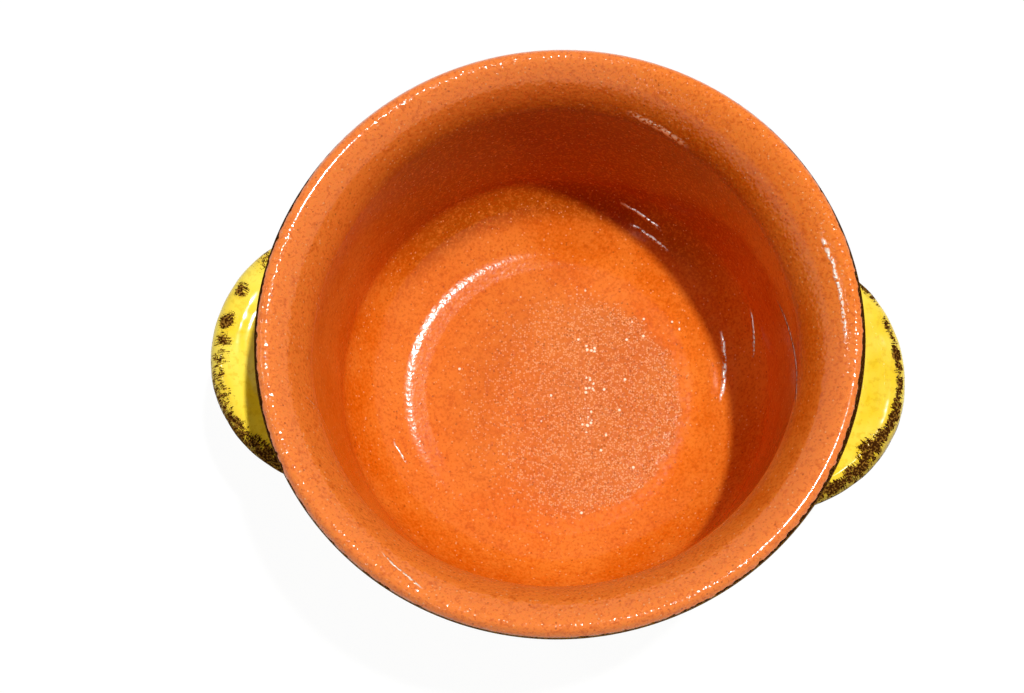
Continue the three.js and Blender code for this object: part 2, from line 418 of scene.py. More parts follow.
@dataclass(frozen=True)
class PottersHand:
    """How the thrown form strays from true: lip and throat aren't quite round, and there are ridges."""

    lip_less: float = 0.1 * MM
    lip_shift: float = 0.6 * MM
    lip_oval: float = 0.35 * MM
    crest_out: float = 1.0 * MM
    throat_less: float = 0.3 * MM
    throat_shift: float = 0.6 * MM
    throat_oval: float = 0.65 * MM
    throat_third: float = 0.5 * MM
    throat_bulge: float = 1.1 * MM
    ridge_pitch: float = 3.4 * MM
    ridge_rise: float = 0.012 * MM
    sway_rise: float = 0.05 * MM
    crest_reach: float = 5.5 * MM
    crest_depths: tuple[float, float] = (4.0 * MM, 1.5 * MM)
    outside_settled: tuple[float, float] = (46.0 * MM, 56.0 * MM)
    inside_settled: tuple[float, float] = (20.0 * MM, 50.0 * MM)

    def lip_stray(self, angle: Array) -> Array:
        """Radial stray of the lip: wider towards +X, and slightly oval on the diagonal."""
        return -self.lip_less + self.lip_shift * np.cos(angle) + self.lip_oval * np.sin(2.0 * angle)

    def throat_stray(self, angle: Array) -> Array:
        """Radial stray of the throat: shifted to -X, oval along Y, three-cornered and bulging near +X."""
        return (-self.throat_less - self.throat_shift * np.cos(angle) - self.throat_oval * np.cos(2.0 * angle)
                - self.throat_third * np.sin(3.0 * angle) + self.throat_bulge * bell(angle, 2.0, 22.0))

    def stray(self, sizes: CrockSizes, profile: Array, angle: Array, settled: tuple[float, float]) -> Array:
        """Radial stray of each point of a profile at each angle.

        The throat's stray passes into the lip's between their radii, and both fade out between two heights.
        The crest, and the lip beside it, are pulled outwards.

        Args:
            sizes: the crock's sizes.
            profile: rows of (radius, height).
            angle: the columns' angles in radians.
            settled: the height below which nothing strays, and the height above which all of it does.

        Returns:
            Rows by columns of radial distance.
        """
        lip_share = smooth(profile[:, 0], sizes.throat_radius, sizes.crest_radius)[:, None]
        kept = smooth(profile[:, 1], *settled)[:, None]
        low, high = (sizes.height - depth for depth in self.crest_depths)
        crest = (smooth(profile[:, 0], sizes.crest_radius - self.crest_reach, sizes.crest_radius)
                 * smooth(profile[:, 0], sizes.rim_radius, sizes.crest_radius)
                 * smooth(profile[:, 1], low, high))[:, None]
        thrown = lip_share * self.lip_stray(angle) + (1.0 - lip_share) * self.throat_stray(angle)
        return kept * thrown + crest * self.crest_out

    def ripple(self, run: Array, angle: Array) -> Array:
        """Ridges of a finger's spiral, one turn to a pitch, on top of a slow sway of a few waves."""
        spiral = np.sin(2.0 * math.pi * run[:, None] / self.ridge_pitch + angle)
        uneven = 0.6 + 0.4 * np.sin(3.0 * angle + run[:, None] / (9.0 * MM))
        sway = (np.sin(5.0 * angle + run[:, None] / (11.0 * MM))
                + np.sin(8.0 * angle - run[:, None] / (7.0 * MM))
                + np.sin(13.0 * angle + run[:, None] / (5.0 * MM) + 1.3)) / 3.0
        return self.ridge_rise * uneven * spiral + self.sway_rise * sway


def columns(count: int) -> Array:
    """Angles of count columns round a whole turn, in radians."""
    return np.arange(count) * (2.0 * math.pi / count)


def turned(radius: Array, height: Array, angle: Array) -> Array:
    """Points at a radius and height, turned to an angle round the crock's axis.

    Args:
        radius: rows by columns, or rows by 1.
        height: rows by columns, or rows by 1.
        angle: the columns' angles, or rows by columns of them, in radians.

    Returns:
        Rows by columns by 3.
    """
    radius, height, angle = np.broadcast_arrays(radius, height, angle)
    return np.stack([radius * np.cos(angle), radius * np.sin(angle), height], axis=-1)


class Recipe:
    """A material's node tree, with a short call for each node that clay and glaze need."""

    def __init__(self, name: str) -> None:
        """Starts an empty tree for a new material."""
        self.material = bpy.data.materials.new(name)
        self.material.use_nodes = True
        self.tree = self.material.node_tree
        self.tree.nodes.clear()

    def add(self, kind: str, **settings: object) -> bpy.types.Node:
        """Adds a node and sets its own settings."""
        node = self.tree.nodes.new(kind)
        for key, value in settings.items():
            setattr(node, key, value)
        return node

    def feed(self, socket: Socket, value: object) -> None:
        """Links a socket to another, or sets its own value."""
        if isinstance(value, Socket):
            self.tree.links.new(value, socket)
        elif isinstance(value, tuple) and len(value) == 3 and socket.type == "RGBA":
            socket.default_value = (*value, 1.0)
        else:
            socket.default_value = value

    def place(self) -> Socket:
        """Object coordinates, in metres."""
        return self.add("ShaderNodeTexCoord").outputs["Object"]

    def mark(self, name: str) -> Socket:
        """A number that the piece's mesh carries."""
        return self.add("ShaderNodeAttribute", attribute_name=name).outputs["Fac"]

    def parts(self, place: Socket) -> tuple[Socket, ...]:
        """A place's three numbers."""
        node = self.add("ShaderNodeSeparateXYZ")
        self.feed(node.inputs[0], place)
        return tuple(node.outputs)

    def squares(self, x: Socket, y: Socket) -> Socket:
        """The sum of two numbers' squares."""
        return self.math("MULTIPLY_ADD", x, x, self.math("MULTIPLY", y, y))

    def around(self, place: Socket) -> tuple[Socket, Socket]:
        """A place's distance from the crock's axis, and its angle round it in degrees."""
        x, y, _ = self.parts(place)
        return self.math("SQRT", self.squares(x, y)), self.math("DEGREES", self.math("ARCTAN2", y, x))

    def mark_place(self, name: str) -> Socket:
        """A place on the surface that the piece's mesh carries, in metres."""
        return self.add("ShaderNodeAttribute", attribute_name=name).outputs["Vector"]

    def stretched(self, place: Socket, grain: tuple[float, float, float]) -> Socket:
        """A place divided by a grain size along each axis, so that noise of size 1 m on it has that grain."""
        node = self.add("ShaderNodeVectorMath", operation="DIVIDE")
        self.feed(node.inputs[0], place)
        node.inputs[1].default_value = grain
        return node.outputs["Vector"]

    def noise(self, place: Socket, grain: float, detail: float = 2.0, rough: float = 0.5) -> Socket:
        """Smooth noise from 0 to 1.

        Args:
            place: where it is read.
            grain: the size of its largest features, in the units of place.
            detail: how many finer octaves it adds.
            rough: how strong those octaves are.

        Returns:
            The socket with its value.
        """
        node = self.add("ShaderNodeTexNoise")
        self.feed(node.inputs["Vector"], place)
        node.inputs["Scale"].default_value = 1.0 / grain
        node.inputs["Detail"].default_value = detail
        node.inputs["Roughness"].default_value = rough
        return node.outputs[0]

    def grains(self, place: Socket, spacing: float, size: float, kept: object) -> Socket:
        """Scattered round grains: 1 inside each of them and 0 between them.

        Args:
            place: where it is read.
            spacing: the distance between neighbouring grains.
            size: the radius of the largest.
            kept: the share of all grains that are there.

        Returns:
            The socket with its value.
        """
        node = self.add("ShaderNodeTexVoronoi")
        self.feed(node.inputs["Vector"], place)
        node.inputs["Scale"].default_value = 1.0 / spacing
        own = self.parts(node.outputs["Color"])[0]
        inside = self.ramp(node.outputs["Distance"], size / spacing, 0.6 * size / spacing)
        return self.math("MULTIPLY", inside, self.math("LESS_THAN", own, kept))

    def from_turn(self, turn: Socket, middle: float) -> Socket:
        """Degrees from a middle angle, between -180 and 180."""
        return self.math("WRAP", self.math("SUBTRACT", turn, middle), 180.0, -180.0)

    def near_turn(self, turn: Socket, middle: float, half: float) -> Socket:
        """1 near an angle in degrees, falling smoothly to 0 at twice the half range."""
        return self.ramp(self.math("ABSOLUTE", self.from_turn(turn, middle)), 2.0 * half, half)

    def math(self, operation: str, *values: object) -> Socket:
        """A sum, product or other operation on one to three numbers or sockets."""
        node = self.add("ShaderNodeMath", operation=operation)
        for socket, value in zip(node.inputs, values):
            self.feed(socket, value)
        return node.outputs[0]

    def product(self, *values: object) -> Socket:
        """The product of numbers or sockets."""
        return reduce(partial(self.math, "MULTIPLY"), values)

    def largest(self, *values: object) -> Socket:
        """The largest of numbers or sockets."""
        return reduce(partial(self.math, "MAXIMUM"), values)

    def total(self, *terms: tuple[object, float]) -> Socket:
        """The sum of sockets, each times a number."""
        made = self.math("MULTIPLY", *terms[0])
        for value, share in terms[1:]:
            made = self.math("MULTIPLY_ADD", value, share, made)
        return made

    def ramp(self, value: object, low: float, high: float, start: float = 0.0, end: float = 1.0) -> Socket:
        """Passes smoothly from start, at low and under, to end, at high and over."""
        node = self.add("ShaderNodeMapRange", interpolation_type="SMOOTHSTEP")
        for socket, number in zip(node.inputs, (value, low, high, start, end)):
            self.feed(socket, number)
        return node.outputs[0]

    def band(self, value: Socket, start: float, whole: float, less: float, end: float) -> Socket:
        """1 from whole to less, falling smoothly to 0 at start below them and at end above them."""
        return self.product(self.ramp(value, start, whole), self.ramp(value, end, less))

    def layered(self, color: object, *layers: tuple[object, object]) -> Socket:
        """A colour with others laid over it one after another, each as (its share, the colour)."""
        for share, over in layers:
            node = self.add("ShaderNodeMix", data_type="RGBA")
            self.feed(node.inputs[0], share)
            self.feed(node.inputs[6], color)
            self.feed(node.inputs[7], over)
            color = node.outputs[2]
        return color

    def bump(self, height: object, depth: float, over: Socket | None = None) -> Socket:
        """Tilts the surface's normal as a relief of that depth in metres would, on top of another relief."""
        node = self.add("ShaderNodeBump")
        node.inputs["Distance"].default_value = depth
        self.feed(node.inputs["Height"], height)
        if over is not None:
            self.feed(node.inputs["Normal"], over)
        return node.outputs["Normal"]

    def surface(self, color: object, roughness: object, normal: Socket,
                **settings: object) -> bpy.types.Material:
        """Ends the tree with its shader.

        Args:
            color: the base colour.
            roughness: the roughness.
            normal: the normal after all relief.
            settings: values or sockets for the shader's other sockets by name, with _ for a space.

        Returns:
            The finished material.
        """
        shader = self.add("ShaderNodeBsdfPrincipled")
        self.feed(shader.inputs["Base Color"], color)
        self.feed(shader.inputs["Roughness"], roughness)
        self.feed(shader.inputs["Normal"], normal)
        for key, value in settings.items():
            self.feed(shader.inputs[key.replace("_", " ")], value)
        output = self.add("ShaderNodeOutputMaterial")
        self.tree.links.new(shader.outputs["BSDF"], output.inputs["Surface"])
        return self.material


@dataclass(frozen=True)
class WornBrown:
    """The dark brown that shows where glaze is brushed thin: blotches, brush strokes and specks of it."""

    dark: Color = linear(62, 32, 8)
    light: Color = linear(150, 106, 38)
    flecks: float = 0.5
    blotch: float = 1.3 * MM
    stroke_width: float = 0.3 * MM
    stroke_length: float = 2.2 * MM
    speck: float = 0.28 * MM
    blotch_reach: float = 2.6
    stroke_reach: float = 2.6
    speck_reach: float = 1.6
    fade: float = 0.12

    def share(self, recipe: Recipe, worn: Socket,
              strokes: Socket | None = None) -> Socket:
        """How much brown shows: the mesh's own wear in millimetres, pushed out and in by noises, and cut.

        Args:
            recipe: the material's recipe.
            worn: wear, over 0 where the glaze is brushed through.
            strokes: the place along the edge and across it, in metres, for brush strokes across the edge.

        Returns:
            A socket from 0 to 1.
        """
        place = recipe.place()
        terms = [(worn, 1.0), (recipe.noise(place, self.blotch, 1.0), self.blotch_reach),
                 (recipe.noise(place, self.speck, 1.0), self.speck_reach)]
        middle = 0.5 * (self.blotch_reach + self.speck_reach)
        if strokes is not None:
            brush = recipe.stretched(strokes, (self.stroke_width, self.stroke_length, 1.0))
            terms.append((recipe.noise(brush, 1.0, 1.0), self.stroke_reach))
            middle += 0.5 * self.stroke_reach
        return recipe.ramp(recipe.total(*terms), middle - self.fade, middle + self.fade)

    def color(self, recipe: Recipe) -> Socket:
        """Dark brown with lighter flecks of the glaze that is left in it."""
        flecks = recipe.ramp(recipe.noise(recipe.place(), 0.5 * MM, 1.0), self.flecks, self.flecks + 0.15)
        return recipe.layered(self.dark, (flecks, self.light))


@dataclass(frozen=True)
class GlazeRun:
    """A thin raised run of glaze, which lies along the potter's turn and slants a little across it.

    Angles are in degrees round the axis and lengths in millimetres; the place across is the distance over the
    surface from the line where the glazes meet. A run that stands high on a steep wall glints on its top. Its
    pale gold colour is a painted glint.
    """

    angle: float
    half_turn: float
    across: float
    slant: float = 0.0
    width: float = 0.4
    rise: float = 0.12

    def share(self, recipe: Recipe, turn: Socket, run: Socket) -> Socket:
        """1 on the run's crest, falling off to 0 at its edges and its ends.

        Args:
            recipe: the material's recipe.
            turn: the angle round the axis.
            run: the distance over the surface, in millimetres, already swayed by noise.

        Returns:
            A socket from 0 to 1.
        """
        away = recipe.from_turn(turn, self.angle)
        line = recipe.math("MULTIPLY_ADD", away, self.slant, self.across)
        off = recipe.math("ABSOLUTE", recipe.math("SUBTRACT", run, line))
        along = recipe.ramp(recipe.math("ABSOLUTE", away), self.half_turn, 0.5 * self.half_turn)
        return recipe.product(along, recipe.ramp(off, self.width, 0.0))


@dataclass(frozen=True)
class PaintedGlintScatter:
    """An oval on the floor where coarse white grains lie as painted glints: its middle, its half sizes, and
    the share of grains.
    """

    x: float
    y: float
    half_x: float
    half_y: float
    kept: float

    def share(self, recipe: Recipe, x: Socket, y: Socket) -> Socket:
        """The share of grains kept: all of it in the oval, and none outside."""
        across = recipe.math("MULTIPLY_ADD", x, 1.0 / self.half_x, -self.x / self.half_x)
        down = recipe.math("MULTIPLY_ADD", y, 1.0 / self.half_y, -self.y / self.half_y)
        return recipe.ramp(recipe.squares(across, down), 1.2, 0.8, 0.0, self.kept)


@dataclass(frozen=True)
class BowlPlace:
    """Where a point of the inside glaze lies, as sockets.

    The turn is in degrees round the axis. The way is the distance over the surface from the line where the
    glazes meet, in millimetres: it grows over the lip, down the wall and over the floor to its centre.
    """

    place: Socket
    x: Socket
    y: Socket
    radius: Socket
    turn: Socket
    way: Socket

    @classmethod
    def read(cls, recipe: Recipe) -> "BowlPlace":
        """Reads it from the object's coordinates and from the run that the mesh carries."""
        place = recipe.place()
        x, y, _ = recipe.parts(place)
        radius, turn = recipe.around(place)
        return cls(place, x, y, radius, turn, recipe.math("MULTIPLY", recipe.mark("run"), 1.0 / MM))


@dataclass(frozen=True)
class OrangeGlaze:
    """The glossy orange glaze inside: mottled, finely grained, and brushed through to brown at its edge.

    The middle of the floor is a disc of pale sand, and the lip is paler and coarser than the bowl. A turn is
    a middle angle and half a range, in degrees. A band is where it starts, is whole, lessens and ends.
    """

    # paler lip: partly its own paler glaze, partly painted light
    lip: Color = linear(247, 129, 48)
    body: Color = linear(219, 99, 8)
    # painted shade: the darker colour of the back wall, which lies in shade
    back: Color = linear(174, 80, 6)
    pale: Color = linear(234, 130, 44)
    deep: Color = linear(190, 74, 3)
    # pale sand grains, partly painted glints
    sand: Color = linear(244, 176, 116)
    pit: Color = linear(150, 62, 12)
    # painted reflection haze: a paler, bluer tint over the floor's sandy disc
    dust_and_painted_haze: Color = linear(188, 100, 42)
    # painted glint: white for the coarse grains
    white: Color = linear(255, 246, 214)
    # painted glint: the pale gold of the raised runs of glaze
    painted_glint_gold: Color = linear(255, 240, 208)
    disc_radius: float = 27.0 * MM
    disc_middle: tuple[float, float] = (4.0 * MM, -3.0 * MM)
    ring_pitch: float = 3.1 * MM
    brown: WornBrown = WornBrown(flecks=0.6, blotch=1.9 * MM, blotch_reach=2.4, speck_reach=0.4, fade=0.06)
    # painted shade: around this turn the pale lip colour reaches less far, where the throat lies in shade
    painted_shade_lip_turn: tuple[float, float] = (15.0, 45.0)
    # painted shade: the turn round the axis where the wall gets the darker colour
    painted_shade_turn: tuple[float, float] = (92.0, 34.0)
    even_turns: tuple[tuple[float, float], ...] = ((-26.0, 13.0), (149.0, 8.0))
    toe_turn: tuple[float, float] = (156.0, 38.0)
    dull_lip_turn: tuple[float, float] = (40.0, 24.0)
    dull_cove_turn: tuple[float, float] = (35.0, 48.0)
    # painted shade: the band of the wall that gets the darker colour
    painted_shade_band: tuple[float, ...] = (9.0, 20.0, 62.0, 68.0)
    cove_band: tuple[float, ...] = (50.0, 58.0, 75.0, 78.0)
    toe_band: tuple[float, ...] = (72.0, 74.0, 77.0, 79.0)
    runs: tuple[GlazeRun, ...] = (
        GlazeRun(11.3, 13.0, 67.8, -0.14, 0.7, 0.16),
        GlazeRun(17.8, 7.0, 57.6, -0.32, 0.6, 0.5),
        GlazeRun(2.8, 16.0, 24.0, 0.44, 0.75, 1.6),
        GlazeRun(11.8, 13.0, 6.1, 0.02, 0.45),
        GlazeRun(67.8, 9.0, 16.3, -0.1, 1.2),
        GlazeRun(66.8, 8.0, 59.5, -0.16, 0.6),
        GlazeRun(61.8, 8.0, 63.6, -0.08, 0.6),
        GlazeRun(200.8, 4.0, 20.0, 1.8, 0.3),
        GlazeRun(205.8, 5.0, 69.0, 0.13, 0.35),
        GlazeRun(213.8, 4.0, 19.3, 0.05, 0.3),
        GlazeRun(241.8, 6.0, 6.0, -0.18, 0.3),
    )
    # painted glints: ovals of coarse white grains on the floor
    painted_glint_scatters: tuple[PaintedGlintScatter, ...] = (
        PaintedGlintScatter(8.8 * MM, 1.5 * MM, 1.9 * MM, 4.4 * MM, 0.6),
        PaintedGlintScatter(8.2 * MM, -6.6 * MM, 1.8 * MM, 3.2 * MM, 0.5),
        PaintedGlintScatter(8.7 * MM, 11.5 * MM, 4.0 * MM, 0.9 * MM, 0.4),
        PaintedGlintScatter(24.0 * MM, 18.0 * MM, 6.0 * MM, 6.0 * MM, 0.09),
        PaintedGlintScatter(6.0 * MM, 28.0 * MM, 3.0 * MM, 4.0 * MM, 0.12),
    )

    def disc(self, recipe: Recipe, spot: BowlPlace) -> Socket:
        """1 on the sandy disc in the middle of the floor, with an uneven edge, sharper on the right.
        It is weaker on the left, so its sand, painted glints and painted reflection haze are strongest on the
        right.
        """
        across = recipe.math("SUBTRACT", spot.x, self.disc_middle[0])
        down = recipe.math("SUBTRACT", spot.y, self.disc_middle[1])
        away = recipe.math("SQRT", recipe.squares(across, down))
        wavy = recipe.math("MULTIPLY_ADD", recipe.noise(spot.place, 7.0 * MM, 2.0), 5.0 * MM, away)
        soft = recipe.ramp(across, -20.0 * MM, 22.0 * MM, 9.0 * MM, 1.6 * MM)
        edge = recipe.math("DIVIDE", recipe.math("SUBTRACT", self.disc_radius + 2.5 * MM, wavy), soft)
        flat = recipe.ramp(spot.radius, 33.0 * MM, 31.0 * MM)
        uneven = recipe.ramp(across, -24.0 * MM, 10.0 * MM, 0.4, 1.0)
        return recipe.product(uneven, recipe.product(flat, recipe.ramp(edge, -1.0, 1.0)))

    def ground(self, recipe: Recipe, spot: BowlPlace, cloud: Socket, disc: Socket) -> Socket:
        """The glaze's colour: mottled; paler on the lip, partly painted light; paler on the left cove, painted
        light;
        deeper on the back wall, painted shade; and with a painted reflection haze on the disc.
        """
        mottle = recipe.noise(spot.place, 1.6 * MM, 2.0, 0.6)
        grain = recipe.noise(spot.place, 0.62 * MM, 1.0)
        # painted light: the cove and floor are paler on the left, the side that faces the key lamp
        painted_light_west = recipe.ramp(spot.x, 15.0 * MM, -40.0 * MM, 0.1, 0.5)
        # painted light and shade: the pale lip colour reaches less far down on the right, where the throat is
        # in shade
        lit_lip_reach = recipe.math("MULTIPLY_ADD", recipe.near_turn(spot.turn, *self.painted_shade_lip_turn), 9.0, spot.way)
        wall = recipe.band(spot.way, *self.painted_shade_band)
        return recipe.layered(
            self.body,
            (recipe.ramp(cloud, 0.35, 0.7, 0.0, 0.6), self.pale),
            (recipe.product(painted_light_west, recipe.ramp(spot.way, 60.0, 68.0)), self.pale),
            (recipe.ramp(lit_lip_reach, 24.0, 12.0), self.lip),
            # painted shade: the back wall is coloured darker where it lies in shade
            (recipe.product(wall, recipe.near_turn(spot.turn, *self.painted_shade_turn)), self.back),
            (recipe.ramp(mottle, 0.5, 0.72, 0.0, 0.35), self.pale),
            (recipe.ramp(mottle, 0.48, 0.3, 0.0, 0.35), self.deep),
            (recipe.ramp(grain, 0.5, 0.68, 0.0, 0.4), self.pale),
            (recipe.ramp(grain, 0.48, 0.32, 0.0, 0.4), self.deep),
            # the disc's dusty tint, with a painted reflection haze in it
            (recipe.product(disc, 0.45), self.dust_and_painted_haze),
        )

    def grained(self, recipe: Recipe, spot: BowlPlace, disc: Socket, color: Socket) -> tuple[Socket, Socket]:
        """Adds dark pits, pale sand, partly painted glints, and coarse white grains that are painted glints,
        most of them on the disc.

        Args:
            recipe: the material's recipe.
            spot: where the point lies.
            disc: how much of the sandy disc is there.
            color: the colour under the grains.

        Returns:
            The colour with the grains, and how far they stand out.
        """
        pits = recipe.grains(spot.place, 0.7 * MM, 0.3 * MM, recipe.ramp(disc, 0.0, 1.0, 0.03, 0.3))
        sand = recipe.grains(spot.place, 0.5 * MM, 0.27 * MM, recipe.ramp(disc, 0.0, 1.0, 0.03, 0.75))
        scattered = (scatter.share(recipe, spot.x, spot.y) for scatter in self.painted_glint_scatters)
        kept = recipe.largest(recipe.product(disc, 0.008), *scattered)
        # painted glints: coarse white grains on the disc and in the listed ovals
        painted_glint_grains = recipe.grains(spot.place, 1.0 * MM, 0.42 * MM, kept)
        color = recipe.layered(
            color,
            (recipe.product(pits, 0.55), self.pit),
            (recipe.product(sand, 0.55), self.sand),
            (recipe.product(painted_glint_grains, 0.9), self.white),
        )
        return color, recipe.total((sand, 0.5), (painted_glint_grains, 1.5), (pits, -0.5))

    def beads(self, recipe: Recipe, spot: BowlPlace) -> tuple[Socket, Socket]:
        """The runs of glaze: how much of a broken run is at each point, and its rise in millimetres."""
        swayed = recipe.total((spot.way, 1.0), (recipe.noise(spot.place, 1.3 * MM, 2.0), 0.8), (0.5, -0.8))
        beads = ledges = 0.0
        for run in self.runs:
            share = run.share(recipe, spot.turn, swayed)
            beads = recipe.largest(beads, share)
            ledges = recipe.math("MULTIPLY_ADD", share, run.rise, ledges)
        broken = recipe.ramp(recipe.noise(spot.place, 0.7 * MM, 1.0), 0.4, 0.54)
        return recipe.product(beads, broken), ledges

    def relief(self, recipe: Recipe, spot: BowlPlace, cloud: Socket, rough: Socket,
               raised: tuple[tuple[Socket, float], ...]) -> Socket:
        """The normal over throwing rings and an uneven skin, and over what is raised on them.

        Args:
            recipe: the material's recipe.
            spot: where the point lies.
            cloud: noise that bends the rings.
            rough: how uneven the skin is.
            raised: further heights, each with its depth in metres.

        Returns:
            The normal's socket.
        """
        bend = recipe.product(cloud, 9.0)
        wave = recipe.math("MULTIPLY_ADD", spot.radius, 2.0 * math.pi / self.ring_pitch, bend)
        rings = recipe.product(recipe.math("SINE", wave), recipe.ramp(spot.radius, 3.0 * MM, 9.0 * MM))
        skin = recipe.product(recipe.noise(spot.place, 1.0 * MM, 1.0), rough)
        normal = None
        for height, depth in ((rings, 0.004 * MM), (skin, 0.17 * MM), *raised):
            normal = recipe.bump(height, depth, normal)
        return normal

    def shine(self, recipe: Recipe, spot: BowlPlace, toe: Socket, worn: Socket, beads: Socket) -> Socket:
        """The level of reflection: high on the runs, raised at the toe, low on dull parts, none on brown."""
        crest = recipe.ramp(spot.way, 10.0, 8.0)
        dull_lip = recipe.product(crest, recipe.near_turn(spot.turn, *self.dull_lip_turn))
        cove = recipe.band(spot.way, *self.cove_band)
        dull_cove = recipe.product(cove, recipe.near_turn(spot.turn, *self.dull_cove_turn))
        level = recipe.math("MULTIPLY_ADD", toe, 0.3, recipe.ramp(spot.way, 14.0, 30.0, 0.3, 0.16))
        for dull, left in ((dull_lip, 0.3), (dull_cove, 0.15), (worn, 0.0)):
            level = recipe.product(level, recipe.ramp(dull, 0.0, 1.0, 1.0, left))
        return recipe.largest(level, recipe.ramp(beads, 0.0, 0.4))

    def material(self) -> bpy.types.Material:
        """Builds the material."""
        recipe = Recipe("orange_glaze")
        spot = BowlPlace.read(recipe)
        disc = self.disc(recipe, spot)
        cloud = recipe.noise(spot.place, 14.0 * MM, 2.0)
        color, grains = self.grained(recipe, spot, disc, self.ground(recipe, spot, cloud, disc))
        beads, ledges = self.beads(recipe, spot)
        worn = self.brown.share(recipe, recipe.mark("worn"))
        # painted glint: the raised runs are coloured pale gold, on top of what their bump catches of the lamps
        color = recipe.layered(color, (recipe.product(beads, 0.9), self.painted_glint_gold))
        color = recipe.layered(color, (worn, self.brown.color(recipe)))
        even = recipe.largest(*(recipe.near_turn(spot.turn, *turn) for turn in self.even_turns))
        lip = recipe.product(recipe.ramp(spot.way, 22.0, 16.0), recipe.ramp(even, 0.0, 1.0, 1.0, 0.15))
        toe = recipe.band(spot.way, *self.toe_band)
        toe = recipe.product(toe, recipe.near_turn(spot.turn, *self.toe_turn))
        rough = recipe.largest(lip, recipe.product(toe, 0.6), recipe.ramp(disc, 0.0, 1.0, 0.12, 0.3))
        gloss = recipe.ramp(recipe.noise(spot.place, 1.2 * MM, 3.0), 0.35, 0.7, 0.08, 0.18)
        roughness = recipe.math("MULTIPLY_ADD", toe, 0.1, recipe.largest(gloss, recipe.product(worn, 0.5)))
        raised = ((grains, 0.05 * MM), (ledges, MM), (worn, -0.05 * MM))
        normal = self.relief(recipe, spot, cloud, rough, raised)
        bend = recipe.ramp(beads, 0.0, 0.4, 1.5, 2.2)
        shine = self.shine(recipe, spot, toe, worn, beads)
        return recipe.surface(color, roughness, normal, IOR=bend, Specular_IOR_Level=shine)


@dataclass(frozen=True)
class YellowGlaze:
    """The glossy yellow glaze of the outside and the lugs, brushed through to brown along its edges.

    A lug's glaze is brushed, and its mesh also says where the glaze is thin and where, at its front, dull.
    """

    name: str = "yellow_glaze"
    brushed: bool = False
    body: Color = linear(246, 210, 36)
    pale: Color = linear(250, 226, 84)
    deep: Color = linear(224, 180, 26)
    olive: Color = linear(176, 146, 52)
    brown: WornBrown = WornBrown()

    def material(self) -> bpy.types.Material:
        """Builds the material."""
        recipe = Recipe(self.name)
        place = recipe.place()
        cloud = recipe.noise(place, 10.0 * MM, 2.0)
        mottle = recipe.noise(place, 1.4 * MM, 3.0, 0.6)
        wear = recipe.mark("worn")
        color = recipe.layered(
            self.body,
            (recipe.ramp(cloud, 0.3, 0.7), self.pale),
            (recipe.ramp(mottle, 0.5, 0.35, 0.0, 0.4), self.deep),
            (recipe.ramp(wear, -1.4, 0.2, 0.0, 0.35), self.deep),
        )
        if self.brushed:
            color = recipe.layered(color, (recipe.ramp(recipe.mark("thin"), 0.0, 1.0, 0.0, 0.8), self.olive))
        worn = self.brown.share(recipe, wear, recipe.mark_place("brush") if self.brushed else None)
        color = recipe.layered(color, (worn, self.brown.color(recipe)))
        gloss = recipe.ramp(recipe.noise(place, 3.0 * MM, 2.0), 0.35, 0.7, 0.08, 0.14)
        roughness = recipe.largest(gloss, recipe.product(worn, 0.6))
        relief = recipe.bump(recipe.noise(place, 4.5 * MM, 1.0), 0.12 * MM)
        relief = recipe.bump(worn, -0.05 * MM, relief)
        shine = recipe.ramp(worn, 0.0, 1.0, 0.2, 0.0)
        if self.brushed:
            shine = recipe.product(shine, recipe.ramp(recipe.mark("low"), 0.0, 1.0, 1.0, 0.1))
        return recipe.surface(color, roughness, relief, IOR=1.5, Specular_IOR_Level=shine)


@dataclass(frozen=True)
class BareClay:
    """Fired red clay: matte, sandy, and finely scored by the turning of the wheel."""

    body: Color = linear(184, 98, 56)
    pale: Color = linear(206, 128, 84)
    dark: Color = linear(132, 62, 34)
    score_pitch: float = 0.9 * MM

    def material(self) -> bpy.types.Material:
        """Builds the material."""
        recipe = Recipe("bare_clay")
        place = recipe.place()
        radius, _ = recipe.around(place)
        cloud = recipe.noise(place, 9.0 * MM, 3.0)
        sand = recipe.noise(place, 0.5 * MM, 2.0, 0.7)
        color = recipe.layered(
            self.body,
            (recipe.ramp(cloud, 0.3, 0.7), self.pale),
            (recipe.ramp(sand, 0.42, 0.28), self.dark),
            (recipe.ramp(sand, 0.62, 0.78, 0.0, 0.6), self.pale),
        )
        across = recipe.math("ADD", radius, recipe.parts(place)[2])
        swayed = recipe.math("MULTIPLY_ADD", cloud, 3.0 * MM, across)
        scores = recipe.math("SINE", recipe.product(swayed, 2.0 * math.pi / self.score_pitch))
        relief = recipe.bump(scores, 0.012 * MM)
        relief = recipe.bump(sand, 0.08 * MM, relief)
        roughness = recipe.ramp(cloud, 0.3, 0.7, 0.78, 0.9)
        return recipe.surface(color, roughness, relief, IOR=1.45)


@dataclass
class Piece:
    """A finished piece and what it stands for."""

    made: bpy.types.Object
    node: str
    slot: Slot
    material: bpy.types.Material

    def settle(self) -> None:
        """Dresses the piece, puts it on the crock's one body, hides the frame node it replaces and logs its
        slot.
        """
        self.made.data.materials.append(self.material)
        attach(self.made, "root")
        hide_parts(self.node)
        LOG.info("%s: %d faces, %s", self.made.name, len(self.made.data.polygons), self.slot.value)


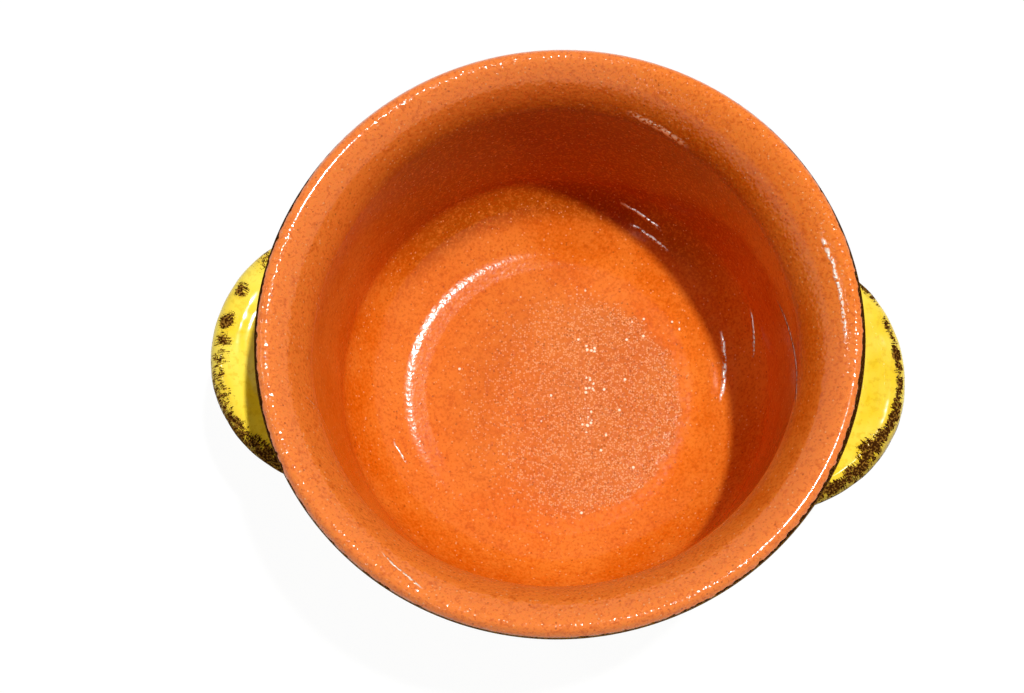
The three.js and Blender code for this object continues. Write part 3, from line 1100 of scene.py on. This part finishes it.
@dataclass
class ClayBody:
    """The turned clay, with its foot ring, under the glazes."""

    sizes: CrockSizes
    hand: PottersHand
    rows: ProfileRows = ProfileRows(edge=8, lip=20, wall=10, cove=16, toe=4, floor=8, side=40, turn=360)
    underside_rows: int = 40
    foot_rows: int = 4
    round_rows: int = 6

    def foot_profile(self) -> Array:
        """Underside and foot ring, from the centre outwards: straight runs with their corners rounded."""
        size = self.sizes
        inner = size.foot_radius - size.foot_width
        quarter = np.linspace(0.0, math.pi / 2.0, self.round_rows)
        ring_in = np.stack([inner + size.foot_round * (1.0 - np.cos(quarter)),
                            size.foot_round * (1.0 - np.sin(quarter))], axis=1)
        ring_out = np.stack([size.foot_radius - size.foot_round * (1.0 - np.sin(quarter)),
                             size.foot_round * (1.0 - np.cos(quarter))], axis=1)
        nook = np.stack([inner - size.foot_round * (1.0 - np.sin(quarter)),
                         size.foot_recess - size.foot_round * (1.0 - np.cos(quarter))], axis=1)
        under = np.array([[self.rows.pole_radius, size.foot_recess], nook[0]])
        flat = respaced(np.array([ring_in[-1], ring_out[0]]), self.round_rows)
        wall = np.array([ring_out[-1], [size.foot_radius, size.foot_height]])
        wall = respaced(wall, self.foot_rows)
        return join_runs(respaced(under, self.underside_rows), nook, ring_in, flat, ring_out, wall)

    def build(self, finish: BareClay) -> Piece:
        """Revolves the clay's closed profile, a coat's depth inside the finished surfaces."""
        size = self.sizes
        depth = size.glaze + size.bedding
        angle = columns(self.rows.turn)
        inside = size.inside_profile(self.rows)
        outside = size.outside_profile(self.rows)[::-1]
        inner = inside + left_normals(inside) * depth
        outer = outside + left_normals(outside) * depth
        foot = self.foot_profile()
        profile = np.concatenate([foot, outer, inner])
        stray = np.concatenate([
            np.zeros((len(foot), len(angle))),
            self.hand.stray(size, outside, angle, self.hand.outside_settled),
            self.hand.stray(size, inside, angle, self.hand.inside_settled),
        ])
        points = turned(profile[:, :1] + stray, profile[:, 1:], angle)
        poles = (np.array([0.0, 0.0, foot[0, 1]]), np.array([0.0, 0.0, inner[-1, 1]]))
        made = Surface("crock_body_clay", points, poles).build()
        return Piece(made, "crock_body", Slot.BARE_CLAY, finish.material())


@dataclass
class InsideGlazeCoat:
    """The orange coat, from the line on the lip's edge, over the crest and down the inside.

    Its ripples start past the crest and fade out in the cove. The worn edge reaches further where a bell
    stands: each is a number of millimetres, a middle angle and a width.
    """

    sizes: CrockSizes
    hand: PottersHand
    rows: ProfileRows = ProfileRows()
    edge_reach: float = -0.2
    wear_bells: tuple[tuple[float, float, float], ...] = (
        (2.1, -6.0, 20.0),
        (0.5, -50.0, 20.0),
        (0.8, 36.0, 18.0),
        (1.7, 183.0, 22.0),
        (0.8, 157.0, 9.0),
    )
    ripple_start: tuple[float, float] = (9.0 * MM, 16.0 * MM)
    ripple_end: tuple[float, float] = (3.0 * MM, 2.0 * MM)

    def wear(self, run: Array, angle: Array) -> Array:
        """Millimetres by which each point lies within the worn edge, which is widest beside the lugs."""
        reach = self.edge_reach
        for more, middle, width in self.wear_bells:
            reach = reach + more * bell(angle, middle, width)
        return reach - run[:, None] / MM

    def build(self, finish: OrangeGlaze) -> Piece:
        """Revolves the finished surface, closes it round the coat's edge, and backs it with its underside."""
        size = self.sizes
        angle = columns(self.rows.turn)
        face = size.inside_profile(self.rows)
        run = travelled(face)
        stray = self.hand.stray(size, face, angle, self.hand.inside_settled)
        ripple = self.hand.ripple(run, angle) * smooth(run, *self.ripple_start)[:, None]
        flat, wall = size.floor_radius + self.ripple_end[0], size.cove_radius - self.ripple_end[1]
        ripple *= smooth(face[:, 0], flat, wall)[:, None]
        out = -left_normals(face)
        top = turned(face[:, :1] + out[:, :1] * ripple + stray, face[:, 1:] + out[:, 1:] * ripple, angle)
        thin = respaced(face, self.rows.under)
        below = thin + left_normals(thin) * size.glaze
        below_stray = self.hand.stray(size, thin, angle, self.hand.inside_settled)
        bottom = turned(below[:, :1] + below_stray, below[:, 1:], angle)
        points = np.concatenate([top[::-1], bottom])
        runs = np.concatenate([run[::-1], travelled(thin)])
        poles = (np.array([0.0, 0.0, face[-1, 1]]), np.array([0.0, 0.0, below[-1, 1]]))
        marks = {"worn": self.wear(runs, angle), "run": np.repeat(runs[:, None], len(angle), axis=1)}
        made = Surface("inside_glaze_coat", points, poles, marks).build()
        return Piece(made, "inside_glaze", Slot.ORANGE_GLAZE, finish.material())


@dataclass
class OutsideGlazeCoat:
    """The yellow coat, from the line on the lip's edge, under the lip and down to the foot.

    Wear is in millimetres: the most, at an edge of the coat, and its fall in each millimetre from there.
    """

    sizes: CrockSizes
    hand: PottersHand
    lug: "LugSizes"
    rows: ProfileRows = ProfileRows(edge=10, lip=30, side=90, under=24, turn=480)
    lap: float = 1.9 * MM
    top_wear: tuple[float, float] = (2.4, 0.9)
    foot_wear: tuple[float, float] = (0.9, 0.5)
    least_wear: float = -2.6
    wear_sway: float = 0.4
    ripple_run: float = 6.0 * MM
    ripple_rise: float = 4.0 * MM
    opening_rows: int = 90
    opening_turn: int = 200

    def wear(self, run: Array, angle: Array) -> Array:
        """Millimetres of wear: whole over the lip's edge, less below it, and again a little at the foot."""
        below = run[:, None] / MM
        end = run[-1] / MM
        top = self.top_wear[0] - self.top_wear[1] * below
        foot = self.foot_wear[0] - self.foot_wear[1] * (end - below)
        return np.maximum(np.maximum(top, foot), self.least_wear) + self.wear_sway * np.sin(3.0 * angle + 1.0)

    def build(self, finish: YellowGlaze) -> Piece:
        """Revolves the coat as a closed ring, and opens it where the lugs go through."""
        size = self.sizes
        angle = columns(self.rows.turn)
        face = size.outside_profile(self.rows)
        run = travelled(face)
        heights = self.hand.outside_settled
        stray = self.hand.stray(size, face, angle, heights)
        ripple = self.hand.ripple(run, angle) * smooth(run, 0.0, self.ripple_run)[:, None]
        ripple *= smooth(face[:, 1], size.foot_height, size.foot_height + self.ripple_rise)[:, None]
        out = left_normals(face)
        top = turned(face[:, :1] + out[:, :1] * ripple + stray, face[:, 1:] + out[:, 1:] * ripple, angle)
        thin = respaced(face, self.rows.under)
        below = thin - left_normals(thin) * size.glaze
        bottom = turned(below[:, :1] + self.hand.stray(size, thin, angle, heights), below[:, 1:], angle)
        points = np.concatenate([top[::-1], bottom])
        marks = {"worn": np.concatenate([self.wear(run, angle)[::-1], self.wear(travelled(thin), angle)])}
        made = Surface("outside_glaze_coat", points, None, marks).build()
        for side in Side:
            self.open(made, side)
        return Piece(made, "outside_glaze", Slot.YELLOW_GLAZE, finish.material())

    def open(self, coat: bpy.types.Object, side: Side) -> None:
        """Cuts the coat away within a lap of the lug's whole disc."""
        section = self.lug.section(self.lap)
        profile = respaced(section, self.opening_rows)[1:-1]
        angle = columns(self.opening_turn)
        disc = turned(profile[:, :1], self.lug.height + profile[:, 1:], angle)
        disc[..., 0] += self.lug.centre
        low, high = (np.array([self.lug.centre, 0.0, self.lug.height + z]) for z in section[[0, -1], 1])
        cutter = Surface("lug_opening", side.placed(disc), (side.placed(low), side.placed(high))).build()
        cut = coat.modifiers.new("opening", "BOOLEAN")
        cut.operation, cut.solver, cut.object = "DIFFERENCE", "EXACT", cutter
        shaped = bpy.data.meshes.new_from_object(coat.evaluated_get(bpy.context.evaluated_depsgraph_get()))
        coat.modifiers.remove(cut)
        coat.data = shaped
        bpy.data.objects.remove(cutter)


@dataclass(frozen=True)
class LugSizes:
    """A lug handle: a disc turned round an upright axis, of which the part outside the wall is left."""

    centre: float
    height: float
    radius: float = 31.3 * MM
    half: float = 4.0 * MM
    dish_width: float = 7.0 * MM
    dish_depth: float = 1.1 * MM
    root_rise: float = 6.0 * MM
    sweep_bend: float = 10.0 * MM
    corbel: float = 10.0 * MM
    corbel_bend: float = 14.0 * MM
    slip: float = 0.5 * MM
    depth: float = 32.0 * MM

    @classmethod
    def from_frame(cls) -> "LugSizes":
        """Takes the lug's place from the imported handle: its tip is the disc's, and its depth the crock's."""
        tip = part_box("handle_right")[1].x
        return cls(centre=tip - cls.radius, height=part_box("inside_glaze")[1].z - cls.depth)

    def section(self, grow: float = 0.0) -> Array:
        """Half section of the disc, as (distance from its axis, height over its middle).

        It runs under the disc, round the nose in a half circle, over the raised edge and the dish, and up
        the sweep.

        Args:
            grow: how much larger than the disc it is all round.

        Returns:
            Points from the axis below to the axis above.
        """
        half = self.half + grow
        nose = self.radius - self.half
        dish = nose - self.dish_width
        floor = half - self.dish_depth
        below = bezier([(0.0, -half - self.corbel), (self.corbel_bend, -half), (nose, -half)], CURVE_POINTS)
        turn = np.linspace(-math.pi / 2.0, math.pi / 2.0, CURVE_POINTS)
        round_nose = np.stack([nose + half * np.cos(turn), half * np.sin(turn)], axis=1)
        shoulder = nose - self.dish_width / 2.0
        edge = bezier([(nose, half), (shoulder, half), (shoulder, floor), (dish, floor)], CURVE_POINTS // 2)
        sweep = bezier([(dish, floor), (self.sweep_bend, floor), (0.0, floor + self.root_rise)], CURVE_POINTS)
        return join_runs(below, round_nose, edge, sweep)


@dataclass(frozen=True)
class WornPatch:
    """A patch of a lug's face where the glaze is brushed thin.

    It lies at an angle round the lug, counted from the lug's middle towards +Y on both sides, and at a
    distance inwards from the tip of the nose. Lengths are in millimetres.
    """

    angle: float
    half_turn: float
    inwards: float
    half_width: float
    strength: float = 1.0

    def depth(self, along: Array, across: Array) -> Array:
        """Millimetres of wear: strongest in the middle, and below nothing outside an oval."""
        turn = (along - self.angle) / self.half_turn
        off = (across - self.inwards) / self.half_width
        return self.strength * (1.0 - turn * turn - off * off)


@dataclass
class LugHandle:
    """One lug, with a hand-cut edge, and the bead of slip that lutes it to the wall.

    Towards the front end, at -Y, the lug's glaze gets thin and then dull, each between two angles in degrees.
    The slip is a pad behind the lug, and a bead that starts inside the lug and runs out on the glaze.
    """

    sizes: CrockSizes
    lug: LugSizes
    side: Side
    patches: tuple[WornPatch, ...] = ()
    ways: int = 150
    face_points: int = 110
    root_points: int = 12
    bead_turn: int = 360
    bead_width: float = 2.2 * MM
    bead_rise: float = 2.6 * MM
    bead_rows: int = 16
    bead_root: float = 1.5 * MM
    bead_bend: tuple[float, float] = (-0.2 * MM, 0.3 * MM)
    bead_dip: float = 0.12 * MM
    bead_under: tuple[float, float] = (1.7 * MM, -0.3 * MM)
    pad_reach: float = 1.5 * MM
    pad_rise: float = 0.4 * MM
    pad_sink: float = 0.5 * MM
    pad_rings: tuple[float, float] = (0.9, 0.6)
    edge_less: float = 0.12 * MM
    edge_blend: float = 4.0 * MM
    phase: float = 0.7
    thin_turn: tuple[float, float] = (-10.0, 40.0)
    thin_reach: tuple[float, float] = (4.6 * MM, 1.5 * MM)
    low_turn: tuple[float, float] = (28.0, 40.0)
    least_wear: float = -4.0
    nose_line: tuple[float, float] = (0.6, 5.0)

    def wall_at(self, height: Array) -> Array:
        """Radius of the face that the lug's root lies on, at a height."""
        return self.sizes.side_radius(height) + self.lug.slip

    def to_wall(self, angle: Array, height: Array) -> Array:
        """Distance from the disc's axis to the wall, along a level ray at an angle.

        It is the far root of the circle's equation, where the wall's radius is the circle's.
        """
        across = self.lug.centre * np.sin(angle)
        return np.sqrt(self.wall_at(height) ** 2 - across ** 2) - self.lug.centre * np.cos(angle)

    def reach(self) -> float:
        """The angle, in radians, at which the nose's tip meets the wall."""
        wall = float(self.wall_at(np.array(self.lug.height)))
        centre, radius = self.lug.centre, self.lug.radius
        return math.acos((wall ** 2 - centre ** 2 - radius ** 2) / (2.0 * centre * radius))

    def edge_cut(self, angle: Array) -> Array:
        """How much the edge is cut back at an angle: a few waves that are never below nothing."""
        waves = np.sin(6.0 * angle + self.phase) + 0.6 * np.sin(13.0 * angle + 2.3 * self.phase)
        waves += 0.4 * np.sin(29.0 * angle + 3.1 * self.phase)
        return self.edge_less * (2.0 + waves) / 2.0

    def contacts(self, angle: Array, section: Array) -> tuple[Array, Array]:
        """Where along the section, at each angle, it leaves the wall below and meets it again above.

        Args:
            angle: the angles round the disc's axis.
            section: the disc's half section.

        Returns:
            Two arrays of distances along the section.
        """
        run = travelled(section)
        past = section[None, :, 0] - self.to_wall(angle[:, None], self.lug.height + section[None, :, 1])
        first = np.argmax(past > 0.0, axis=1)
        last = past.shape[1] - 1 - np.argmax(past[:, ::-1] > 0.0, axis=1)
        rows = np.arange(len(angle))

        def crossing(before: Array, after: Array) -> Array:
            """Distance along the section at which past is nothing, between two neighbouring points."""
            low, high = past[rows, before], past[rows, after]
            return run[before] + (run[after] - run[before]) * low / (low - high)

        return crossing(first - 1, first), crossing(last, last + 1)

    def grid(self) -> tuple[Array, Array, Array, Array]:
        """The lug's surface: at each angle, the section outside the wall, and then back down the wall.

        Returns:
            The points, rows by columns by 3, the angles, the lower and upper contacts' points, as rows by 2
            by 3, and the distance along the section from the nose's tip, rows by columns.
        """
        section = self.lug.section()
        run = travelled(section)
        nose = run[np.argmax(section[:, 0])]
        share = np.linspace(-1.0, 1.0, self.ways + 2)[1:-1]
        angle = self.reach() * np.sin(share * math.pi / 2.0)
        low, high = self.contacts(angle, section)
        stops = low[:, None] + (high - low)[:, None] * np.linspace(0.0, 1.0, self.face_points)
        out = np.interp(stops, run, section[:, 0])
        up = np.interp(stops, run, section[:, 1])
        free = smooth(out - self.to_wall(angle[:, None], self.lug.height + up), 0.0, self.edge_blend)
        out = out - self.edge_cut(angle)[:, None] * free
        share_down = np.linspace(0.0, 1.0, self.root_points + 2)[1:-1]
        root_up = up[:, -1:] + (up[:, :1] - up[:, -1:]) * share_down
        root_out = self.to_wall(angle[:, None], self.lug.height + root_up)
        distance = np.concatenate([out, root_out], axis=1)
        height = np.concatenate([up, root_up], axis=1)
        points = turned(distance, self.lug.height + height, angle[:, None])
        points[..., 0] += self.lug.centre
        root_run = np.broadcast_to(high[:, None] - nose, root_up.shape)
        from_nose = np.concatenate([stops - nose, root_run], axis=1)
        return points, angle, points[:, [0, self.face_points - 1]], from_nose

    def wear(self, angle: Array, from_nose: Array) -> Array:
        """Millimetres of wear: the lug's own patches, and a thin line round the tip of the nose."""
        along = (np.degrees(angle) * self.side.sign)[:, None]
        bend = np.clip(np.abs(from_nose) / self.lug.half, 0.0, math.pi / 2.0)
        past = np.maximum(np.abs(from_nose) - self.lug.half * math.pi / 2.0, 0.0)
        across = np.sign(from_nose) * (self.lug.half * (1.0 - np.cos(bend)) + past) / MM
        worn = np.maximum(self.least_wear, self.nose_line[0] - self.nose_line[1] * np.abs(across))
        for patch in self.patches:
            worn = np.maximum(worn, patch.depth(along, across))
        return worn

    def build(self, finish: YellowGlaze) -> Piece:
        """Builds the lug, with its wear, its thin and low parts and the brush's place as marks."""
        points, angle, _, from_nose = self.grid()
        tips = []
        for end in (-self.reach(), self.reach()):
            tips.append(self.side.placed(np.array([self.lug.centre + self.lug.radius * math.cos(end),
                                                   self.lug.radius * math.sin(end), self.lug.height])))
        along = np.broadcast_to((angle * self.lug.radius)[:, None], from_nose.shape)
        low_end = np.degrees(angle)[:, None] * -self.side.sign
        marks = {"worn": self.wear(angle, from_nose),
                 "thin": smooth(low_end, *self.thin_turn) * smooth(from_nose, *self.thin_reach),
                 "low": np.broadcast_to(smooth(low_end, *self.low_turn), from_nose.shape),
                 "brush": np.stack([along, from_nose, np.zeros_like(along)], axis=-1)}
        name = f"lug_{self.side.name.lower()}"
        made = Surface(name, self.side.placed(points), (tips[0], tips[1]), marks).build()
        return Piece(made, f"handle_{self.side.name.lower()}", Slot.YELLOW_GLAZE, finish.material())

    def build_slip(self, finish: YellowGlaze) -> Piece:
        """Builds the slip: a pad behind the lug, and a hollow fillet from the lug's face out to the glaze.

        The loop where the lug meets the wall is unrolled, and each row lies a distance outside the loop,
        along the wall, and a distance off the wall.
        """
        _, _, contacts, _ = self.grid()
        loop = np.concatenate([contacts[:, 0], contacts[::-1, 1]])
        mean = self.sizes.side_radius(np.array(self.lug.height))
        flat = np.stack([np.arctan2(loop[:, 1], loop[:, 0]) * mean, loop[:, 2]], axis=1)
        flat = respaced(np.concatenate([flat, flat[:1]]), self.bead_turn + 1)[:-1]
        along = np.roll(flat, -2, axis=0) - np.roll(flat, 2, axis=0)
        along /= np.linalg.norm(along, axis=1, keepdims=True)
        outward = np.stack([along[:, 1], -along[:, 0]], axis=1)
        middle = flat.mean(axis=0)
        start, end = (-self.bead_root, self.bead_rise), (self.bead_width, -self.bead_dip)
        fillet = bezier([start, self.bead_bend, end], self.bead_rows)
        shape = np.concatenate([fillet, [self.bead_under, (self.pad_reach, -self.pad_sink)]])
        front = [middle + (flat - middle) * ring for ring in self.pad_rings]
        back = [middle + (flat - middle) * self.pad_rings[-1]]
        spread = np.stack([*front, *(flat + outward * row[0] for row in shape), *back])
        rise = np.concatenate([[self.pad_rise] * len(front), shape[:, 1], [-self.pad_sink]])[:, None]
        points = turned(self.sizes.side_radius(spread[..., 1]) + rise, spread[..., 1], spread[..., 0] / mean)
        centre = self.sizes.side_radius(np.array(middle[1]))
        ends = (np.array([centre + off, 0.0, middle[1]]) for off in (self.pad_rise, -self.pad_sink))
        poles = tuple(self.side.placed(end) for end in ends)
        across = np.broadcast_to(np.linspace(0.0, 1.0, len(points))[:, None], points.shape[:2])
        marks = {"worn": 0.6 - 1.2 * across}
        name = f"slip_bead_{self.side.name.lower()}"
        made = Surface(name, self.side.placed(points), poles, marks).build()
        return Piece(made, f"slip_joint_{self.side.name.lower()}", Slot.WORN_SLIP, finish.material())


PATCHES = {
    Side.RIGHT: (
        WornPatch(44.0, 6.0, 0.8, 1.2, 0.6),
        WornPatch(25.0, 3.0, 1.9, 0.8, 0.35),
        WornPatch(17.5, 2.5, 1.9, 0.7, 0.5),
        WornPatch(11.5, 3.6, 2.0, 1.2, 1.3),
        WornPatch(5.0, 2.5, 2.0, 0.9, 0.5),
        WornPatch(-3.0, 6.0, 1.7, 0.9, 0.9),
        WornPatch(-16.0, 8.0, 1.9, 1.3, 1.1),
        WornPatch(-28.0, 6.0, 2.6, 1.4, 0.9),
        WornPatch(-37.0, 6.0, 3.2, 2.2, 0.9),
        WornPatch(-47.0, 8.0, 2.0, 1.6, 1.0),
        WornPatch(-60.0, 9.0, 1.6, 1.3, 1.1),
        WornPatch(-72.0, 8.0, 1.4, 1.2, 0.9),
    ),
    Side.LEFT: (
        WornPatch(52.0, 6.0, 3.6, 2.6, 0.2),
        WornPatch(27.0, 3.8, 3.3, 1.5, 1.0),
        WornPatch(11.0, 4.0, 3.1, 1.7, 0.9),
        WornPatch(1.0, 2.6, 3.2, 1.6, 0.5),
        WornPatch(-7.0, 2.4, 2.8, 1.2, 0.3),
        WornPatch(-15.0, 1.8, 2.9, 0.9, 0.9),
        WornPatch(-24.0, 9.0, 0.7, 1.5, 0.2),
        WornPatch(-42.0, 13.0, 0.9, 1.9, 0.6),
        WornPatch(-60.0, 16.0, 1.4, 2.3, 0.8),
    ),
}


@dataclass(frozen=True)
class PhotoCamera:
    """The camera, looking down into the crock from in front, a little to the right, and turned a little."""

    lens: float = 56.25
    sensor: float = 36.0
    turn: float = 8.733
    elevation: float = 74.845
    roll: float = 5.353
    distance: float = 336.7 * MM
    aim: tuple[float, float] = (-8.93 * MM, -4.83 * MM)

    def place(self, aim_height: float) -> None:
        """Makes the scene's camera, aimed at a point on the level of the lip's crest."""
        turn, tilt, roll = (math.radians(x) for x in (self.turn, self.elevation, self.roll))
        right = Vector((math.cos(turn), math.sin(turn), 0.0))
        back = Vector((math.sin(turn) * math.cos(tilt), -math.cos(turn) * math.cos(tilt), math.sin(tilt)))
        up = back.cross(right)
        rolled_right = right * math.cos(roll) - up * math.sin(roll)
        rolled_up = right * math.sin(roll) + up * math.cos(roll)
        data = bpy.data.cameras.new("camera")
        data.lens, data.sensor_width, data.sensor_fit = self.lens, self.sensor, "HORIZONTAL"
        data.clip_start, data.clip_end = 0.01, 20.0
        camera = bpy.data.objects.new("camera", data)
        bpy.context.scene.collection.objects.link(camera)
        turned_to = Matrix((rolled_right, rolled_up, back)).transposed().to_4x4()
        spot = Vector((*self.aim, aim_height)) + back * self.distance
        camera.matrix_world = Matrix.Translation(spot) @ turned_to
        bpy.context.scene.camera = camera


@dataclass(frozen=True)
class Lamp:
    """A far oval lamp. Its level is how bright a white surface that faces it looks; angles are in degrees."""

    name: str
    tilt: float
    turn: float
    level: float
    width: float
    length: float
    distance: float = 6.0

    def place(self, aim: Vector) -> None:
        """Makes the lamp, tilted from straight overhead and turned round the upright axis, and aims it."""
        tilt, turn = math.radians(self.tilt), math.radians(self.turn)
        way = Vector((math.sin(tilt) * math.cos(turn), math.sin(tilt) * math.sin(turn), math.cos(tilt)))
        data = bpy.data.lights.new(self.name, "AREA")
        data.shape = "ELLIPSE"
        data.size = 2.0 * self.distance * math.tan(math.radians(self.width) / 2.0)
        data.size_y = 2.0 * self.distance * math.tan(math.radians(self.length) / 2.0)
        data.energy = self.level * math.pi ** 2 * self.distance ** 2
        lamp = bpy.data.objects.new(self.name, data)
        bpy.context.scene.collection.objects.link(lamp)
        facing = way.to_track_quat("Z", "Y").to_matrix().to_4x4()
        lamp.matrix_world = Matrix.Translation(aim + way * self.distance) @ facing


@dataclass(frozen=True)
class Studio:
    """A white floor and background, a key lamp, weak lamps that only glint, and weak light all round."""

    lamps: tuple[Lamp, ...] = (
        Lamp("key", tilt=15.2, turn=30.0, level=0.98, width=2.6, length=2.6),
        Lamp("glint_above", tilt=13.2, turn=88.8, level=0.003, width=0.8, length=4.6),
        Lamp("glint_left", tilt=38.5, turn=165.4, level=0.11, width=4.0, length=4.0),
        Lamp("glint_front", tilt=49.8, turn=238.0, level=0.03, width=4.0, length=4.0),
    )
    round_level: float = 0.03
    floor_half: float = 3.0
    floor_glow: float = 0.96
    floor_share: float = 0.05
    floor_white: float = 0.85

    def seen(self, tree: bpy.types.NodeTree) -> Socket:
        """1 for rays that show the background: the camera's, reflections' and those through glass."""
        path = tree.nodes.new("ShaderNodeLightPath")
        made = path.outputs["Is Camera Ray"]
        for other in ("Is Glossy Ray", "Is Transmission Ray"):
            either = tree.nodes.new("ShaderNodeMath")
            either.operation = "MAXIMUM"
            tree.links.new(made, either.inputs[0])
            tree.links.new(path.outputs[other], either.inputs[1])
            made = either.outputs[0]
        return made

    def light_world(self) -> None:
        """White where it is seen or reflected, and the weak level where it lights."""
        world = bpy.data.worlds.new("studio")
        world.use_nodes = True
        tree = world.node_tree
        tree.nodes.clear()
        lights, shows = tree.nodes.new("ShaderNodeBackground"), tree.nodes.new("ShaderNodeBackground")
        lights.inputs["Strength"].default_value = self.round_level
        for background in (lights, shows):
            background.inputs["Color"].default_value = (1.0, 1.0, 1.0, 1.0)
        mix, output = tree.nodes.new("ShaderNodeMixShader"), tree.nodes.new("ShaderNodeOutputWorld")
        tree.links.new(self.seen(tree), mix.inputs[0])
        tree.links.new(lights.outputs[0], mix.inputs[1])
        tree.links.new(shows.outputs[0], mix.inputs[2])
        tree.links.new(mix.outputs[0], output.inputs["Surface"])
        bpy.context.scene.world = world

    def lay_floor(self) -> None:
        """A white floor that glows where it is seen, so that it stays white and keeps a faint shadow."""
        half = self.floor_half
        corners = [(-half, -half, 0.0), (half, -half, 0.0), (half, half, 0.0), (-half, half, 0.0)]
        mesh = bpy.data.meshes.new("floor")
        mesh.from_pydata(corners, [], [(0, 1, 2, 3)])
        floor = bpy.data.objects.new("floor", mesh)
        bpy.context.scene.collection.objects.link(floor)
        material = bpy.data.materials.new("white_floor")
        material.use_nodes = True
        tree = material.node_tree
        tree.nodes.clear()
        plain, faint = tree.nodes.new("ShaderNodeBsdfDiffuse"), tree.nodes.new("ShaderNodeBsdfDiffuse")
        plain.inputs["Color"].default_value = (*[self.floor_white] * 3, 1.0)
        faint.inputs["Color"].default_value = (*[self.floor_share] * 3, 1.0)
        glow = tree.nodes.new("ShaderNodeEmission")
        glow.inputs["Strength"].default_value = self.floor_glow
        both, mix = tree.nodes.new("ShaderNodeAddShader"), tree.nodes.new("ShaderNodeMixShader")
        tree.links.new(faint.outputs[0], both.inputs[0])
        tree.links.new(glow.outputs[0], both.inputs[1])
        tree.links.new(self.seen(tree), mix.inputs[0])
        tree.links.new(plain.outputs[0], mix.inputs[1])
        tree.links.new(both.outputs[0], mix.inputs[2])
        output = tree.nodes.new("ShaderNodeOutputMaterial")
        tree.links.new(mix.outputs[0], output.inputs["Surface"])
        mesh.materials.append(material)

    def build(self, aim: Vector) -> None:
        """Lays the floor and lights the scene."""
        self.lay_floor()
        self.light_world()
        for lamp in self.lamps:
            lamp.place(aim)
        bpy.context.scene.view_settings.view_transform = "Standard"


def main() -> None:
    """Loads the frame, builds every piece around it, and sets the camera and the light."""
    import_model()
    sizes, lug_sizes = CrockSizes.from_frame(), LugSizes.from_frame()
    PhotoCamera().place(sizes.height)
    hand = PottersHand()
    speckled = WornBrown(speck_reach=2.2, flecks=0.46)
    faded = WornBrown(dark=linear(92, 58, 30), flecks=0.44)
    finishes = {Side.RIGHT: YellowGlaze("brushed_glaze", brushed=True),
                Side.LEFT: YellowGlaze("speckled_glaze", brushed=True, brown=speckled)}
    pieces = [
        ClayBody(sizes, hand).build(BareClay()),
        InsideGlazeCoat(sizes, hand).build(OrangeGlaze()),
        OutsideGlazeCoat(sizes, hand, lug_sizes).build(YellowGlaze(brown=faded)),
    ]
    for side in Side:
        lug = LugHandle(sizes, lug_sizes, side, PATCHES[side], phase=0.7 if side is Side.RIGHT else 2.9)
        pieces.append(lug.build(finishes[side]))
        pieces.append(lug.build_slip(YellowGlaze("glazed_slip")))
    for piece in pieces:
        piece.settle()
    Studio().build(Vector((0.0, 0.0, sizes.height / 2.0)))


if __name__ == "__main__":
    logging.basicConfig(level=logging.INFO, format="%(message)s")
    main()
